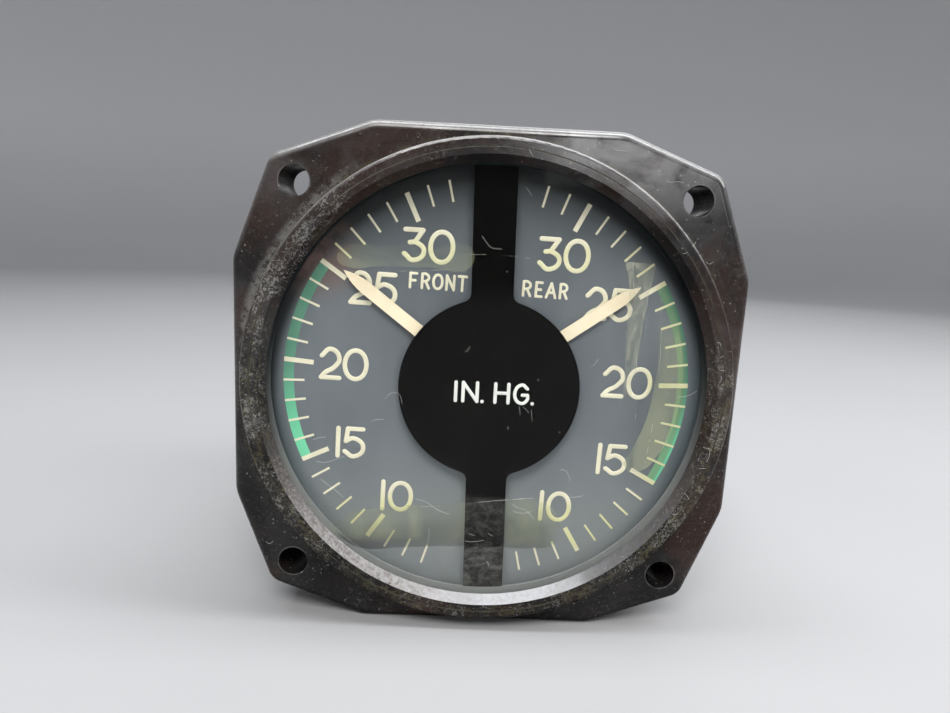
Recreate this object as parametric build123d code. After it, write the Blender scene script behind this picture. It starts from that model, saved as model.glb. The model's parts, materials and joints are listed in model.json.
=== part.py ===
from build123d import *
import math
import os

# A dual manifold pressure indicator for an instrument panel: one round case, two absolute
# pressure movements inside it, and two pointers on concentric arbors over one dial.
# The origin is the centre of the flange's front face, which bears on the back of the panel.
# +X is to the right of the dial, +Z is towards its top, +Y runs back into the case.
# Lengths are in millimetres and angles in degrees.

# Panel interface and moulded case: with these sizes the screws lie on a square of 62.87
front_bore_r = 37.8
ring_wall = 1.5
ring_height = 3.05
ring_edge_round = 0.6
screw_land = 5.156
screw_hole_r = 2.4
flange_margin = 9.865
flange_t = 9.5
flat_half = 19.5
ear_slope = 20.5
ear_round = 3.2
flat_round = 6.0
flange_edge_round = 1.5
shoulder_width = 1.6
can_wall = 2.4
can_draft = 0.5
can_edge_round = 0.6
boss_r = 3.0
boss_len = 10.0
match_tolerance = 0.01

# What is stacked in the front bore, from the front to the shoulder under the dial
stack_clearance = 0.1
bezel_drop = 0.05
bezel_depth = 1.7
bezel_face_width = 1.1
bezel_cone_width = 1.1
bezel_chamfer = 0.08
glass_t = 2.0
glass_chamfer = 0.3
gasket_t = 0.4
gasket_width = 0.8
mask_t = 0.4
mask_rim_width = 2.25
mask_disc_r = 14.95
mask_bar_width = 6.8
mask_fillet = 1.5
mask_turn = 1.1
mask_shift_x = 0.37
mask_shift_z = -0.3
spacer_t = 1.7
spacer_width = 0.6
dial_t = 0.8
dial_hole_r = 1.6

# Two scales in inches of mercury, with marks of thick paint on the dial
scale_margin = 3.3
minor_mark_len = 3.45
major_mark_len = 4.85
minor_mark_width = 0.36
major_mark_width = 0.78
mark_t = 0.1
scale_low = 7
scale_high = 32
major_step = 5
front_zero_angle = 295.04
front_step_angle = -6.0
rear_zero_angle = -120.08
rear_step_angle = 6.122
green_low = 15
green_high = 25
green_width = 1.7
green_t = 0.05

# Movement frame
plate_clearance = 0.6
plate_t = 1.6
plate_window_r = 6.0
plate_window_edge = 3.1
dial_post_len = 3.0
dial_post_r = 1.8
dial_post_z = 9.0
dial_screw_r = 0.8
dial_screw_len = 2.4
dial_head_r = 1.6
dial_head_h = 0.4
pillar_r = 2.2
pillar_edge = 0.6
pillar_stud_r = 1.0
pillar_stud_depth = 3.5
front_pillar_len = 10.8
plate_head_r = 1.9
plate_head_h = 0.8
back_clearance = 2.7
back_t = 2.5
mount_post_len = 15.0
screw_r = 1.25
screw_depth = 7.0
screw_head_r = 2.5
screw_head_h = 1.4
slot_width = 0.6
slot_depth = 0.4
thread_clearance = 0.05

# Gearing: two toothed sectors, each with its own pinion, on concentric arbors
shaft_edge = 8.6
pinion_teeth = 14
sector_teeth = 126
pressure_angle = 20.0
sector_addendum = 0.8
pinion_addendum = 1.0
dedendum = 1.25
tooth_thinning = 0.04
lower_tooth_count = 4
upper_tooth_count = 6
sector_t = 1.2
sector_rim = 2.2
sector_hub_r = 2.4
sector_hub_len = 2.4
pinion_len = 2.4
end_shake = 0.3
shaft_clearance = 0.04
arbor_r = 0.5
arbor_shoulder_r = 1.0
sleeve_wall = 0.55
collet_r = 1.9
collet_len = 0.8
collet_gap = 0.2
level_gap = 0.9
rocking_shaft_r = 0.8

# Hairsprings
spring_outer_r = 6.0
spring_turn_count = 4
spring_strip = 0.14
spring_height = 0.4
spring_point_count = 20
stud_r = 0.6

# Pointers
pointer_short = 3.9
pointer_width = 2.1
pointer_t = 0.25
pointer_tip_len = 5.0
pointer_hub_r = 2.2
pointer_hub_h = 0.5
pointer_gap = 0.1
pointer_tail = 7.0
pointer_weight_r = 2.0
front_reading = 25.34
rear_reading = 25.46

# Rocking arms and links
arm_len = 8.0
arm_width = 2.6
arm_t = 1.2
arm_hub_r = 2.2
arm_hub_len = 2.4
link_t = 0.8
link_width = 2.6
link_gap = 0.2
pin_r = 0.5
open_pivot_r = 0.8

# Capsules: a pressure capsule below and an evacuated one above push on one block
capsule_side_gap = 1.0
capsule_front_gap = 2.2
capsule_rear_gap = 2.0
capsule_pillar_gap = 1.75
capsule_t = 4.5
capsule_rim_t = 1.0
capsule_wall = 0.5
corrugation = 0.35
corrugation_count = 3
capsule_post_r = 2.2
inner_post_len = 2.3
outer_post_len = 4.2
stem_r = 1.5
stem_passage_r = 0.6
block_r = 2.2
block_h = 2.4
block_bar_width = 2.5
block_bar_h = 1.2
shelf_edge = 3.0
shelf_t = 2.5
shelf_front = 5.5
nut_t = 1.2
nut_flats = 5.5

# Pressure ports and tubes
port_z = -4.0
port_flats = 14.3
port_len = 10.0
port_bore_r = 4.35
port_bore_len = 9.0
port_passage_r = 0.8
port_shank_r = 5.0
port_shank_len = 3.5
port_nut_flats = 13.0
port_nut_t = 2.5
port_spigot_r = 2.0
port_spigot_len = 3.5
tube_r = 1.2
tube_bore_r = 0.7
tube_bend_r = 4.0
tube_rise_gap = 3.5
union_r = 2.4
union_len = 5.0

# Rear cover
cover_t = 4.0
cover_lip_t = 2.0
cover_gasket_t = 0.6
cover_edge = 0.8

# Radii of the case and of what fits in it
ring_r = front_bore_r + ring_wall
bolt_spacing = (ring_r + screw_land) * math.sqrt(2)
flange_half = bolt_spacing / 2 + flange_margin
case_bore_r = front_bore_r - shoulder_width
can_rear_r = case_bore_r + can_wall
can_front_r = can_rear_r + can_draft
boss_ring_r = case_bore_r - boss_r
stack_r = front_bore_r - stack_clearance
bezel_front_r = stack_r - bezel_face_width
bezel_rear_r = bezel_front_r - bezel_cone_width
scale_r = stack_r - spacer_width - scale_margin
minor_mark_r = scale_r - minor_mark_len
major_mark_r = scale_r - major_mark_len
green_inner_r = scale_r - green_width
pointer_len = scale_r - pointer_short
plate_r = boss_ring_r - boss_r - plate_clearance
plate_window_z = plate_r - plate_window_r - plate_window_edge
pillar_spot = (plate_r - pillar_r - pillar_edge) / math.sqrt(2)
back_r = case_bore_r - back_clearance
sleeve_bore_r = arbor_r + shaft_clearance
sleeve_r = sleeve_bore_r + sleeve_wall
gear_centres = plate_r - shaft_edge
gear_module = gear_centres * 2 / (pinion_teeth + sector_teeth)
capsule_x = gear_centres - arm_len
capsule_r = capsule_x - capsule_side_gap
shelf_half = capsule_x + shelf_edge
stud_z = spring_outer_r + stud_r
capsule_reach = block_h / 2 + inner_post_len + capsule_t
link_len = pillar_spot - pillar_r - capsule_pillar_gap - capsule_reach

# Depths from the flange's front face, each one built on the last
bezel_y = -ring_height + bezel_drop
glass_y = bezel_y + bezel_depth
gasket_y = glass_y + glass_t
mask_y = gasket_y + gasket_t
spacer_y = mask_y + mask_t
dial_y = spacer_y + spacer_t
shoulder_y = dial_y + dial_t
front_plate_y = shoulder_y + dial_post_len
front_gear_y = front_plate_y + plate_t
bridge_y = front_gear_y + front_pillar_len
arm_side_y = bridge_y + plate_t
arm_y = arm_side_y + end_shake
arm_plate_y = arm_y + (arm_hub_len - arm_t) / 2
link_y = arm_plate_y + arm_t + link_gap
pin_end_y = link_y + link_t + link_gap
capsule_y = pin_end_y + capsule_front_gap + capsule_r
back_y = capsule_y + capsule_r + capsule_rear_gap
back_rear_y = back_y + back_t
cover_y = back_rear_y + mount_post_len
cover_lip_y = cover_y + cover_t - cover_lip_t
cover_rear_y = cover_y + cover_t
case_end_y = cover_lip_y - cover_gasket_t
rear_pinion_y = front_gear_y + end_shake
rear_collet_y = rear_pinion_y + pinion_len + collet_gap
sleeve_end_y = rear_collet_y + collet_len + collet_gap
front_pinion_y = sleeve_end_y + level_gap
front_collet_y = front_pinion_y + pinion_len + collet_gap
front_hub_y = spacer_y + pointer_gap * 2
rear_hub_y = front_hub_y + pointer_hub_h + pointer_gap

# Heights of the linkage, the capsules and the tubes
block_z = -link_len
lower_shelf_z = block_z - capsule_reach - outer_post_len
upper_shelf_z = block_z + capsule_reach + outer_post_len
union_z = lower_shelf_z - shelf_t - nut_t - union_len / 2
tube_z = union_z - union_len / 4


def slab(sketch, near_y, far_y):
    """A flat piece with the sketch's outline in X and Z, between two depths."""
    return extrude(Plane.XZ.offset(-far_y) * sketch, amount=far_y - near_y)


def disc(radius, near_y, far_y, x=0, z=0):
    """A round bar or disc along Y."""
    return slab(Pos(x, z) * Circle(radius), near_y, far_y)


def turned(points):
    """A solid turned about Y from (radius, depth) points."""
    return revolve(make_face(Polyline(*points, close=True)), Axis.Y)


def turned_upright(points, x, y):
    """A solid turned about a line along Z from (radius, height) points."""
    face = Plane.XZ * make_face(Polyline(*points, close=True))
    return Pos(x, y, 0) * revolve(face, Axis.Z)


def ring(outer_r, inner_r, near_y, far_y):
    return disc(outer_r, near_y, far_y) - disc(inner_r, near_y, far_y)


def four_spots(reach):
    return [(sx * reach, sz * reach) for sx in (-1, 1) for sz in (-1, 1)]


def matches(first, second):
    return abs(first - second) < match_tolerance


def hexagon(flats):
    return RegularPolygon(flats / 2, 6, major_radius=False)


def flange_outline():
    """Four flats joined by sloping edges that run out to four ears."""
    slope = math.tan(math.radians(ear_slope))
    tip = (flange_half + flat_half * slope) / (1 + slope)
    corners = []
    for sx, sz in ((1, 1), (1, -1), (-1, -1), (-1, 1)):
        near_top = (sx * flat_half, sz * flange_half)
        near_side = (sx * flange_half, sz * flat_half)
        pair = [near_top, (sx * tip, sz * tip), near_side]
        corners += pair if sx * sz > 0 else pair[::-1]
    outline = make_face(Polyline(*corners, close=True))
    ears = outline.vertices().filter_by(lambda v: matches(abs(v.X), abs(v.Y)))
    outline = fillet(ears, ear_round)
    knees = outline.vertices().filter_by(
        lambda v: matches(abs(v.X), flat_half) or matches(abs(v.Y), flat_half))
    return fillet(knees, flat_round)


def case():
    flange = slab(flange_outline(), 0, flange_t)
    flange = fillet(flange.faces().sort_by(Axis.Y)[0].edges(), flange_edge_round)
    body = turned([
        (0, -ring_height), (ring_r, -ring_height), (ring_r, 0), (can_front_r, flange_t),
        (can_rear_r, case_end_y), (0, case_end_y)])
    lip = body.edges().filter_by(GeomType.CIRCLE).sort_by(Axis.Y)
    body = fillet(lip[0], ring_edge_round)
    rear = body.edges().filter_by(GeomType.CIRCLE).sort_by(Axis.Y)[-1]
    body = fillet(rear, can_edge_round)
    shell = body + flange
    shell -= disc(front_bore_r, -ring_height, shoulder_y)
    shell -= disc(case_bore_r, shoulder_y, case_end_y)
    for spot in boss_spots():
        boss = disc(boss_r, cover_y - boss_len, cover_y, *spot)
        boss += slab(boss_web(spot), cover_y - boss_len, cover_y)
        shell += boss - disc(screw_r + thread_clearance, cover_y - screw_depth, cover_y, *spot)
    for spot in four_spots(bolt_spacing / 2):
        shell -= disc(screw_hole_r, 0, flange_t, *spot)
    return shell


def boss_spots():
    return [(boss_ring_r, 0), (0, boss_ring_r), (-boss_ring_r, 0), (0, -boss_ring_r)]


def boss_web(spot):
    """The block that ties a screw boss to the wall of the can."""
    reach = (case_bore_r + can_rear_r) / 2 - boss_ring_r
    x, z = spot
    length = boss_r * 2
    middle = 1 + reach / 2 / boss_ring_r
    size = (reach, length) if z == 0 else (length, reach)
    return Pos(x * middle, z * middle) * Rectangle(*size)


def bezel_ring():
    far_y = bezel_y + bezel_depth
    return turned([
        (bezel_front_r, bezel_y), (stack_r - bezel_chamfer, bezel_y),
        (stack_r, bezel_y + bezel_chamfer), (stack_r, far_y), (bezel_rear_r, far_y)])


def cover_glass():
    far_y = glass_y + glass_t
    inner = stack_r - glass_chamfer
    return turned([
        (0, glass_y), (inner, glass_y), (stack_r, glass_y + glass_chamfer),
        (stack_r, far_y - glass_chamfer), (inner, far_y), (0, far_y)])


def mask_plate():
    """One stamping: a rim that the gasket grips, a bar across it and a disc over the hubs."""
    centre = Pos(mask_shift_x, mask_shift_z) * Rot(0, 0, mask_turn)
    cover = Circle(mask_disc_r) + Rectangle(mask_bar_width, stack_r * 2)
    half = mask_bar_width / 2
    waist = math.sqrt(mask_disc_r ** 2 - half ** 2)
    inner = cover.vertices().filter_by(lambda v: matches(abs(v.Y), waist))
    cover = fillet(inner, mask_fillet)
    opening = Circle(stack_r - mask_rim_width)
    rim = Circle(stack_r) - opening
    cover = (centre * cover) & Circle(stack_r - mask_rim_width / 2)
    return slab(rim + cover, mask_y, mask_y + mask_t)


def dial():
    plate = disc(stack_r, dial_y, shoulder_y) - disc(dial_hole_r, dial_y, shoulder_y)
    for sz in (-1, 1):
        plate -= disc(dial_screw_r + thread_clearance, dial_y, shoulder_y, 0, sz * dial_post_z)
        plate -= disc(dial_head_r + thread_clearance, dial_y, dial_y + dial_head_h, 0, sz * dial_post_z)
    return plate


def mark_angles(zero_angle, step_angle):
    return {value: zero_angle + step_angle * value for value in range(scale_low, scale_high + 1)}


def mark_outline(value, angle):
    major = value % major_step == 0
    inner_r = major_mark_r if major else minor_mark_r
    width = major_mark_width if major else minor_mark_width
    bar = Pos((inner_r + scale_r) / 2, 0) * Rectangle(scale_r - inner_r, width)
    return Rot(0, 0, angle) * bar


def scale_marks():
    marks = []
    for scale in ((front_zero_angle, front_step_angle), (rear_zero_angle, rear_step_angle)):
        for value, angle in mark_angles(*scale).items():
            marks.append(slab(mark_outline(value, angle), dial_y - mark_t, dial_y))
    return marks


def green_arcs():
    """The normal range on each scale, painted round the marks."""
    arcs = []
    for zero_angle, step_angle in ((front_zero_angle, front_step_angle), (rear_zero_angle, rear_step_angle)):
        ends = sorted(zero_angle + step_angle * value for value in (green_low, green_high))
        band = window_face(scale_r, green_inner_r, sum(ends) / 2, (ends[1] - ends[0]) / 2)
        for value, angle in mark_angles(zero_angle, step_angle).items():
            if green_low <= value <= green_high:
                band -= mark_outline(value, angle)
        arcs.append(slab(band, dial_y - green_t, dial_y))
    return arcs


def dial_posts():
    posts = []
    for sz in (-1, 1):
        z = sz * dial_post_z
        post = disc(dial_post_r, shoulder_y, front_plate_y, 0, z)
        posts.append(post - disc(dial_screw_r + thread_clearance, shoulder_y, front_plate_y, 0, z))
    return posts


def screw(x, z, seat_y, outward, head_r, head_h, shank_r, shank_len):
    """A slotted cheese-head screw along Y; outward is -1 when its head faces the front."""
    head_y = seat_y + outward * head_h
    shank_y = seat_y - outward * shank_len
    body = disc(head_r, min(seat_y, head_y), max(seat_y, head_y), x, z)
    body += disc(shank_r, min(seat_y, shank_y), max(seat_y, shank_y), x, z)
    slot_y = head_y - outward * slot_depth
    slot = Pos(x, z) * Rectangle(head_r * 3, slot_width)
    return body - slab(slot, min(head_y, slot_y), max(head_y, slot_y))


def dial_screws():
    seat_y = dial_y + dial_head_h
    spots = [(0, sz * dial_post_z) for sz in (-1, 1)]
    return [screw(x, z, seat_y, -1, dial_head_r, dial_head_h, dial_screw_r, dial_screw_len)
            for x, z in spots]


def plate(near_y):
    """A movement plate with its shaft bearings, stud holes and two windows."""
    body = disc(plate_r, near_y, near_y + plate_t)
    for sx in (-1, 1):
        body -= disc(rocking_shaft_r + shaft_clearance, near_y, near_y + plate_t, sx * gear_centres)
        body -= disc(plate_window_r, near_y, near_y + plate_t, 0, sx * plate_window_z)
    for spot in four_spots(pillar_spot):
        body -= disc(pillar_stud_r + thread_clearance, near_y, near_y + plate_t, *spot)
    return body


def front_plate():
    return plate(front_plate_y) - disc(sleeve_r + shaft_clearance, front_plate_y, front_gear_y)


def bridge_plate():
    return plate(bridge_y) - disc(arbor_r + shaft_clearance, bridge_y, arm_side_y)


def pillars(near_y, far_y, stud):
    """Four pillars between two plates, with a tapped hole behind and a stud or hole in front."""
    tapped_r = pillar_stud_r + thread_clearance
    depth = pillar_stud_depth + thread_clearance
    made = []
    for spot in four_spots(pillar_spot):
        body = disc(pillar_r, near_y, far_y, *spot)
        body -= disc(tapped_r, far_y - depth, far_y, *spot)
        if stud:
            body += disc(pillar_stud_r, near_y - stud - pillar_stud_depth, near_y, *spot)
        else:
            body -= disc(tapped_r, near_y, near_y + depth, *spot)
        made.append(body)
    return made


def front_pillars():
    return pillars(front_gear_y, bridge_y, 0)


def rear_pillars():
    return pillars(arm_side_y, back_y, plate_t)


def mount_posts():
    """Posts that carry the movement on the rear cover."""
    made = []
    for spot in four_spots(pillar_spot):
        body = disc(pillar_r, back_rear_y, cover_y, *spot)
        body += disc(pillar_stud_r, back_y - pillar_stud_depth, back_rear_y, *spot)
        made.append(body - disc(screw_r + thread_clearance, cover_y - screw_depth, cover_y, *spot))
    return made


def plate_screws():
    return [screw(x, z, front_plate_y, -1, plate_head_r, plate_head_h, pillar_stud_r,
                  plate_t + pillar_stud_depth) for x, z in four_spots(pillar_spot)]


def back_frame():
    """A round plate, notched to pass the case's bosses, with shelves for the capsules' ends."""
    body = disc(back_r, back_y, back_rear_y)
    for spot in boss_spots():
        body -= disc(boss_r + plate_clearance, back_y, back_rear_y, *spot)
    for low_z in (lower_shelf_z - shelf_t, upper_shelf_z):
        shelf = Pos(0, low_z + shelf_t / 2) * Rectangle(shelf_half * 2, shelf_t)
        body += slab(shelf, capsule_y - shelf_front, back_y)
    stem_hole = stem_r + thread_clearance
    for sx in (-1, 1):
        low = lower_shelf_z - shelf_t
        high = upper_shelf_z + shelf_t
        body -= upright_bar(stem_hole, low, high, sx * capsule_x)
        body -= disc(tube_r + link_gap, back_y, back_rear_y, sx * capsule_x, tube_z)
    for spot in four_spots(pillar_spot):
        body -= disc(pillar_stud_r + thread_clearance, back_y, back_rear_y, *spot)
    return body


def rear_cover():
    spigot_r = case_bore_r - stack_clearance
    body = turned([
        (0, cover_y), (spigot_r, cover_y), (spigot_r, cover_lip_y), (can_rear_r, cover_lip_y),
        (can_rear_r, cover_rear_y - cover_edge), (can_rear_r - cover_edge, cover_rear_y),
        (0, cover_rear_y)])
    for sx in (-1, 1):
        body -= disc(port_shank_r + stack_clearance, cover_y, cover_rear_y, sx * capsule_x, port_z)
    for spot in boss_spots() + four_spots(pillar_spot):
        body -= disc(screw_r + stack_clearance, cover_y, cover_rear_y, *spot)
    return body


def rear_screws(spots):
    return [screw(x, z, cover_rear_y, 1, screw_head_r, screw_head_h, screw_r,
                  cover_t + screw_depth - link_gap) for x, z in spots]


def tooth_half_angle(teeth, radius):
    """Half the angle that an involute tooth covers at a radius, in radians."""
    pitch_r = gear_module * teeth / 2
    base_r = pitch_r * math.cos(math.radians(pressure_angle))
    roll = math.acos(base_r / max(radius, base_r))
    start = math.radians(pressure_angle)
    spread = (math.tan(start) - start) - (math.tan(roll) - roll)
    return math.pi / (2 * teeth) - tooth_thinning / (2 * pitch_r) + spread


def tooth_points(teeth, addendum, centre):
    """One tooth's outline about a centre angle in radians, in the order of rising angle."""
    pitch_r = gear_module * teeth / 2
    base_r = pitch_r * math.cos(math.radians(pressure_angle))
    root_r = pitch_r - dedendum * gear_module
    tip_r = pitch_r + addendum * gear_module
    foot_r = max(root_r, base_r)
    radii = [root_r] if root_r < base_r else []
    radii += [foot_r, (foot_r + pitch_r) / 2, (pitch_r + tip_r) / 2, tip_r]
    rise = [(r, centre - tooth_half_angle(teeth, r)) for r in radii]
    fall = [(r, centre + tooth_half_angle(teeth, r)) for r in reversed(radii)]
    return [(r * math.cos(a), r * math.sin(a)) for r, a in rise + fall]


def pinion(near_y, facing):
    """A full pinion with a tooth space centred on the facing angle."""
    pitch = 2 * math.pi / pinion_teeth
    first = math.radians(facing) + pitch / 2
    points = []
    for tooth in range(pinion_teeth):
        points += tooth_points(pinion_teeth, pinion_addendum, first + tooth * pitch)
    return slab(make_face(Polyline(*points, close=True)), near_y, near_y + pinion_len)


def sector_gear(side, pinion_y):
    """A toothed sector on its hub; side is -1 on the left and 1 on the right."""
    pitch = 2 * math.pi / sector_teeth
    facing = 0 if side < 0 else math.pi
    low, high = (-lower_tooth_count, upper_tooth_count) if side < 0 else (-upper_tooth_count, lower_tooth_count)
    points = [(0, 0)]
    for tooth in range(low, high + 1):
        points += tooth_points(sector_teeth, sector_addendum, facing + tooth * pitch)
    fan = make_face(Polyline(*points, close=True))
    rim_r = gear_module * (sector_teeth / 2 - dedendum) - sector_rim
    middle = facing + (low + high) / 2 * pitch
    open_half = math.degrees((high - low) / 2 * pitch) - sector_rim * 1.6
    window = window_face(rim_r, sector_hub_r + sector_rim * 1.5, math.degrees(middle), open_half)
    sketch = fan - window + Circle(sector_hub_r)
    sketch -= Circle(rocking_shaft_r)
    near = pinion_y + (pinion_len - sector_t) / 2
    body = slab(Pos(side * gear_centres, 0) * sketch, near, near + sector_t)
    hub = disc(sector_hub_r, near, near + sector_hub_len, side * gear_centres)
    hub -= disc(rocking_shaft_r, near, near + sector_hub_len, side * gear_centres)
    return body + hub


def window_face(outer_r, inner_r, middle, half):
    """A ring segment, used to lighten a sector."""
    def spot(radius, angle):
        return (radius * math.cos(math.radians(angle)), radius * math.sin(math.radians(angle)))
    low, high = middle - half, middle + half
    outer = ThreePointArc(spot(outer_r, low), spot(outer_r, middle), spot(outer_r, high))
    inner = ThreePointArc(spot(inner_r, high), spot(inner_r, middle), spot(inner_r, low))
    sides = [Line(outer @ 1, inner @ 0), Line(inner @ 1, outer @ 0)]
    return make_face([outer, inner] + sides)


def sector_shaft(side):
    x = side * gear_centres
    return disc(rocking_shaft_r, front_plate_y, arm_y + arm_hub_len, x)


def sector_arm(side):
    """The arm behind the bridge plate, with the pin that its link turns on."""
    pivot = side * gear_centres
    tip = side * capsule_x
    far_y = arm_plate_y + arm_t
    bar = Pos((pivot + tip) / 2, 0) * Rectangle(arm_len, arm_width)
    body = slab(bar + Pos(tip, 0) * Circle(arm_width / 2), arm_plate_y, far_y)
    body += disc(arm_hub_r, arm_y, arm_y + arm_hub_len, pivot)
    body += disc(pin_r, far_y, pin_end_y, tip)
    return body - disc(rocking_shaft_r, arm_y, arm_y + arm_hub_len, pivot)


def link(side):
    """A strap from the arm's pin down to the block's pin, loose on the lower one."""
    x = side * capsule_x
    strap = Pos(x, block_z / 2) * Rectangle(link_width, link_len)
    strap += Pos(x, 0) * Circle(link_width / 2) + Pos(x, block_z) * Circle(link_width / 2)
    strap -= Pos(x, 0) * Circle(pin_r + shaft_clearance)
    strap -= Pos(x, block_z) * Circle(open_pivot_r)
    return slab(strap, link_y, link_y + link_t)


def centre_block(side):
    """The block between the two capsules, with a bar that reaches forward to the link."""
    x = side * capsule_x
    hub = Pos(x, capsule_y, block_z) * Cylinder(block_r, block_h)
    bar_front = pin_end_y + link_gap
    bar = Pos(x, block_z) * Rectangle(block_bar_width, block_bar_h)
    body = hub + slab(bar, bar_front, capsule_y)
    return body + disc(pin_r, link_y - link_gap, bar_front, x, block_z)


def diaphragm(base_z, outward):
    """One face of a capsule, from its post out to its rim, as ring corrugations."""
    points = []
    inner_r = capsule_post_r + corrugation
    step = (capsule_r - inner_r - capsule_rim_t) / (2 * corrugation_count)
    for wave in range(2 * corrugation_count + 1):
        lift = corrugation if wave % 2 == 0 else -corrugation
        points.append((inner_r + step * wave, base_z + outward * lift))
    return points


def capsule(side, near_z, up):
    """A corrugated capsule, hollow inside, with a post at each end.

    near_z is the block's face, and up is 1 for the capsule above it and -1 for the one below."""
    face_z = near_z + up * inner_post_len
    far_face_z = face_z + up * capsule_t
    middle_z = (face_z + far_face_z) / 2
    shelf_z = far_face_z + up * outer_post_len
    half_rim = capsule_rim_t / 2
    crest = up * corrugation
    points = [(0, near_z), (capsule_post_r, near_z)]
    points += diaphragm(face_z + crest, -up)
    points += [(capsule_r, middle_z - up * half_rim), (capsule_r, middle_z + up * half_rim)]
    points += diaphragm(far_face_z - crest, up)[::-1]
    points += [(capsule_post_r, shelf_z), (0, shelf_z)]
    x = side * capsule_x
    body = turned_upright(points, x, capsule_y)
    room = capsule_t - 4 * corrugation - 2 * capsule_wall
    inside = Pos(x, capsule_y, middle_z) * Cylinder(capsule_r - capsule_rim_t * 2, room)
    return body - inside


def pressure_capsule(side):
    """The capsule below the block, open through its outer post."""
    inside_z = block_z - block_h / 2 - inner_post_len - capsule_t / 2
    passage = upright_bar(stem_passage_r, lower_shelf_z, inside_z, side * capsule_x)
    return capsule(side, block_z - block_h / 2, -1) - passage


def aneroid_capsule(side):
    """The evacuated capsule above the block, closed all round."""
    return capsule(side, block_z + block_h / 2, 1)


def upright_bar(radius, low_z, high_z, x):
    """A round bar along Z on a capsule's axis."""
    return Pos(x, capsule_y, (low_z + high_z) / 2) * Cylinder(radius, high_z - low_z)


def capsule_stems():
    """The threaded stems that hold the capsules, the lower two with a passage."""
    made = []
    for sx in (-1, 1):
        x = sx * capsule_x
        passage = upright_bar(stem_passage_r, union_z, lower_shelf_z, x)
        made.append(upright_bar(stem_r, union_z, lower_shelf_z, x) - passage)
        made.append(upright_bar(stem_r, upper_shelf_z, upper_shelf_z + shelf_t + nut_t * 2, x))
    return made


def capsule_nuts():
    """The four nuts that hold the capsules' stems to the shelves."""
    made = []
    for sx in (-1, 1):
        for low_z in (lower_shelf_z - shelf_t - nut_t, upper_shelf_z + shelf_t):
            nut = extrude(hexagon(nut_flats) - Circle(stem_r + thread_clearance), amount=nut_t)
            made.append(Pos(sx * capsule_x, capsule_y, low_z) * nut)
    return made


def arbor_front():
    """The inner arbor: it carries the front engine's pointer."""
    body = disc(arbor_r, front_hub_y, arm_side_y - end_shake)
    body += pinion(front_pinion_y, 180)
    body += disc(collet_r, front_collet_y, front_collet_y + collet_len)
    return body + disc(arbor_shoulder_r, front_collet_y, bridge_y - end_shake)


def arbor_rear():
    """The outer sleeve: it turns on the inner arbor and carries the rear engine's pointer."""
    body = disc(sleeve_r, rear_hub_y, sleeve_end_y)
    body += pinion(rear_pinion_y, 0)
    body += disc(collet_r, rear_collet_y, rear_collet_y + collet_len)
    return body - disc(sleeve_bore_r, rear_hub_y, sleeve_end_y)


def pointer(angle, hub_y, bore_r):
    """A flat pointer with an ogive tip, a hub and a counterweight that the disc hides."""
    half = pointer_width / 2
    neck = pointer_len - pointer_tip_len
    bulge = (pointer_len - pointer_tip_len * 0.42, half * 0.7)
    upper = ThreePointArc((neck, half), bulge, (pointer_len, 0))
    lower = ThreePointArc((pointer_len, 0), (bulge[0], -bulge[1]), (neck, -half))
    tail = Polyline((neck, -half), (-pointer_tail, -half), (-pointer_tail, half), (neck, half))
    blade = make_face([upper, lower, tail]) + Pos(-pointer_tail, 0) * Circle(pointer_weight_r)
    middle = hub_y + (pointer_hub_h - pointer_t) / 2
    body = slab(Rot(0, 0, angle) * blade, middle, middle + pointer_t)
    body += disc(pointer_hub_r, hub_y, hub_y + pointer_hub_h)
    return body - disc(bore_r, hub_y, hub_y + pointer_hub_h)


def hairspring(near_y):
    """A flat spiral from the collet out to its stud."""
    count = spring_turn_count * spring_point_count
    growth = (spring_outer_r - collet_r) / count
    inner, outer = [], []
    for step in range(count + 1):
        angle = math.pi / 2 + 2 * math.pi * step / spring_point_count
        for line, extra in ((inner, 0), (outer, spring_strip)):
            radius = collet_r + growth * step + extra - (spring_strip * step / count)
            line.append((radius * math.cos(angle), radius * math.sin(angle)))
    strip = make_face(Polyline(*(inner + outer[::-1]), close=True))
    return slab(strip, near_y, near_y + spring_height)


def hairspring_studs():
    """One stud on each movement plate, which holds the outer end of its spring."""
    rear_end = rear_collet_y + collet_len
    return [disc(stud_r, front_gear_y, rear_end, 0, stud_z),
            disc(stud_r, front_collet_y, bridge_y, 0, stud_z)]


def port_fitting(side):
    """A brass female fitting: hexagon outside, shank through the cover, spigot for the tube."""
    x = side * capsule_x
    far_y = cover_rear_y + port_len
    shank_y = cover_y - port_shank_len
    spigot_y = shank_y - port_spigot_len
    body = slab(Pos(x, port_z) * hexagon(port_flats), cover_rear_y, far_y)
    body += disc(port_shank_r, shank_y, cover_rear_y, x, port_z)
    body += disc(port_spigot_r, spigot_y, shank_y, x, port_z)
    body -= disc(port_bore_r, far_y - port_bore_len, far_y, x, port_z)
    body -= disc(tube_r + thread_clearance, spigot_y, shank_y, x, port_z)
    return body - disc(port_passage_r, spigot_y, far_y, x, port_z)


def port_nuts():
    made = []
    for sx in (-1, 1):
        outline = hexagon(port_nut_flats) - Circle(port_shank_r + thread_clearance)
        made.append(slab(Pos(sx * capsule_x, port_z) * outline, cover_y - port_nut_t, cover_y))
    return made


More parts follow.
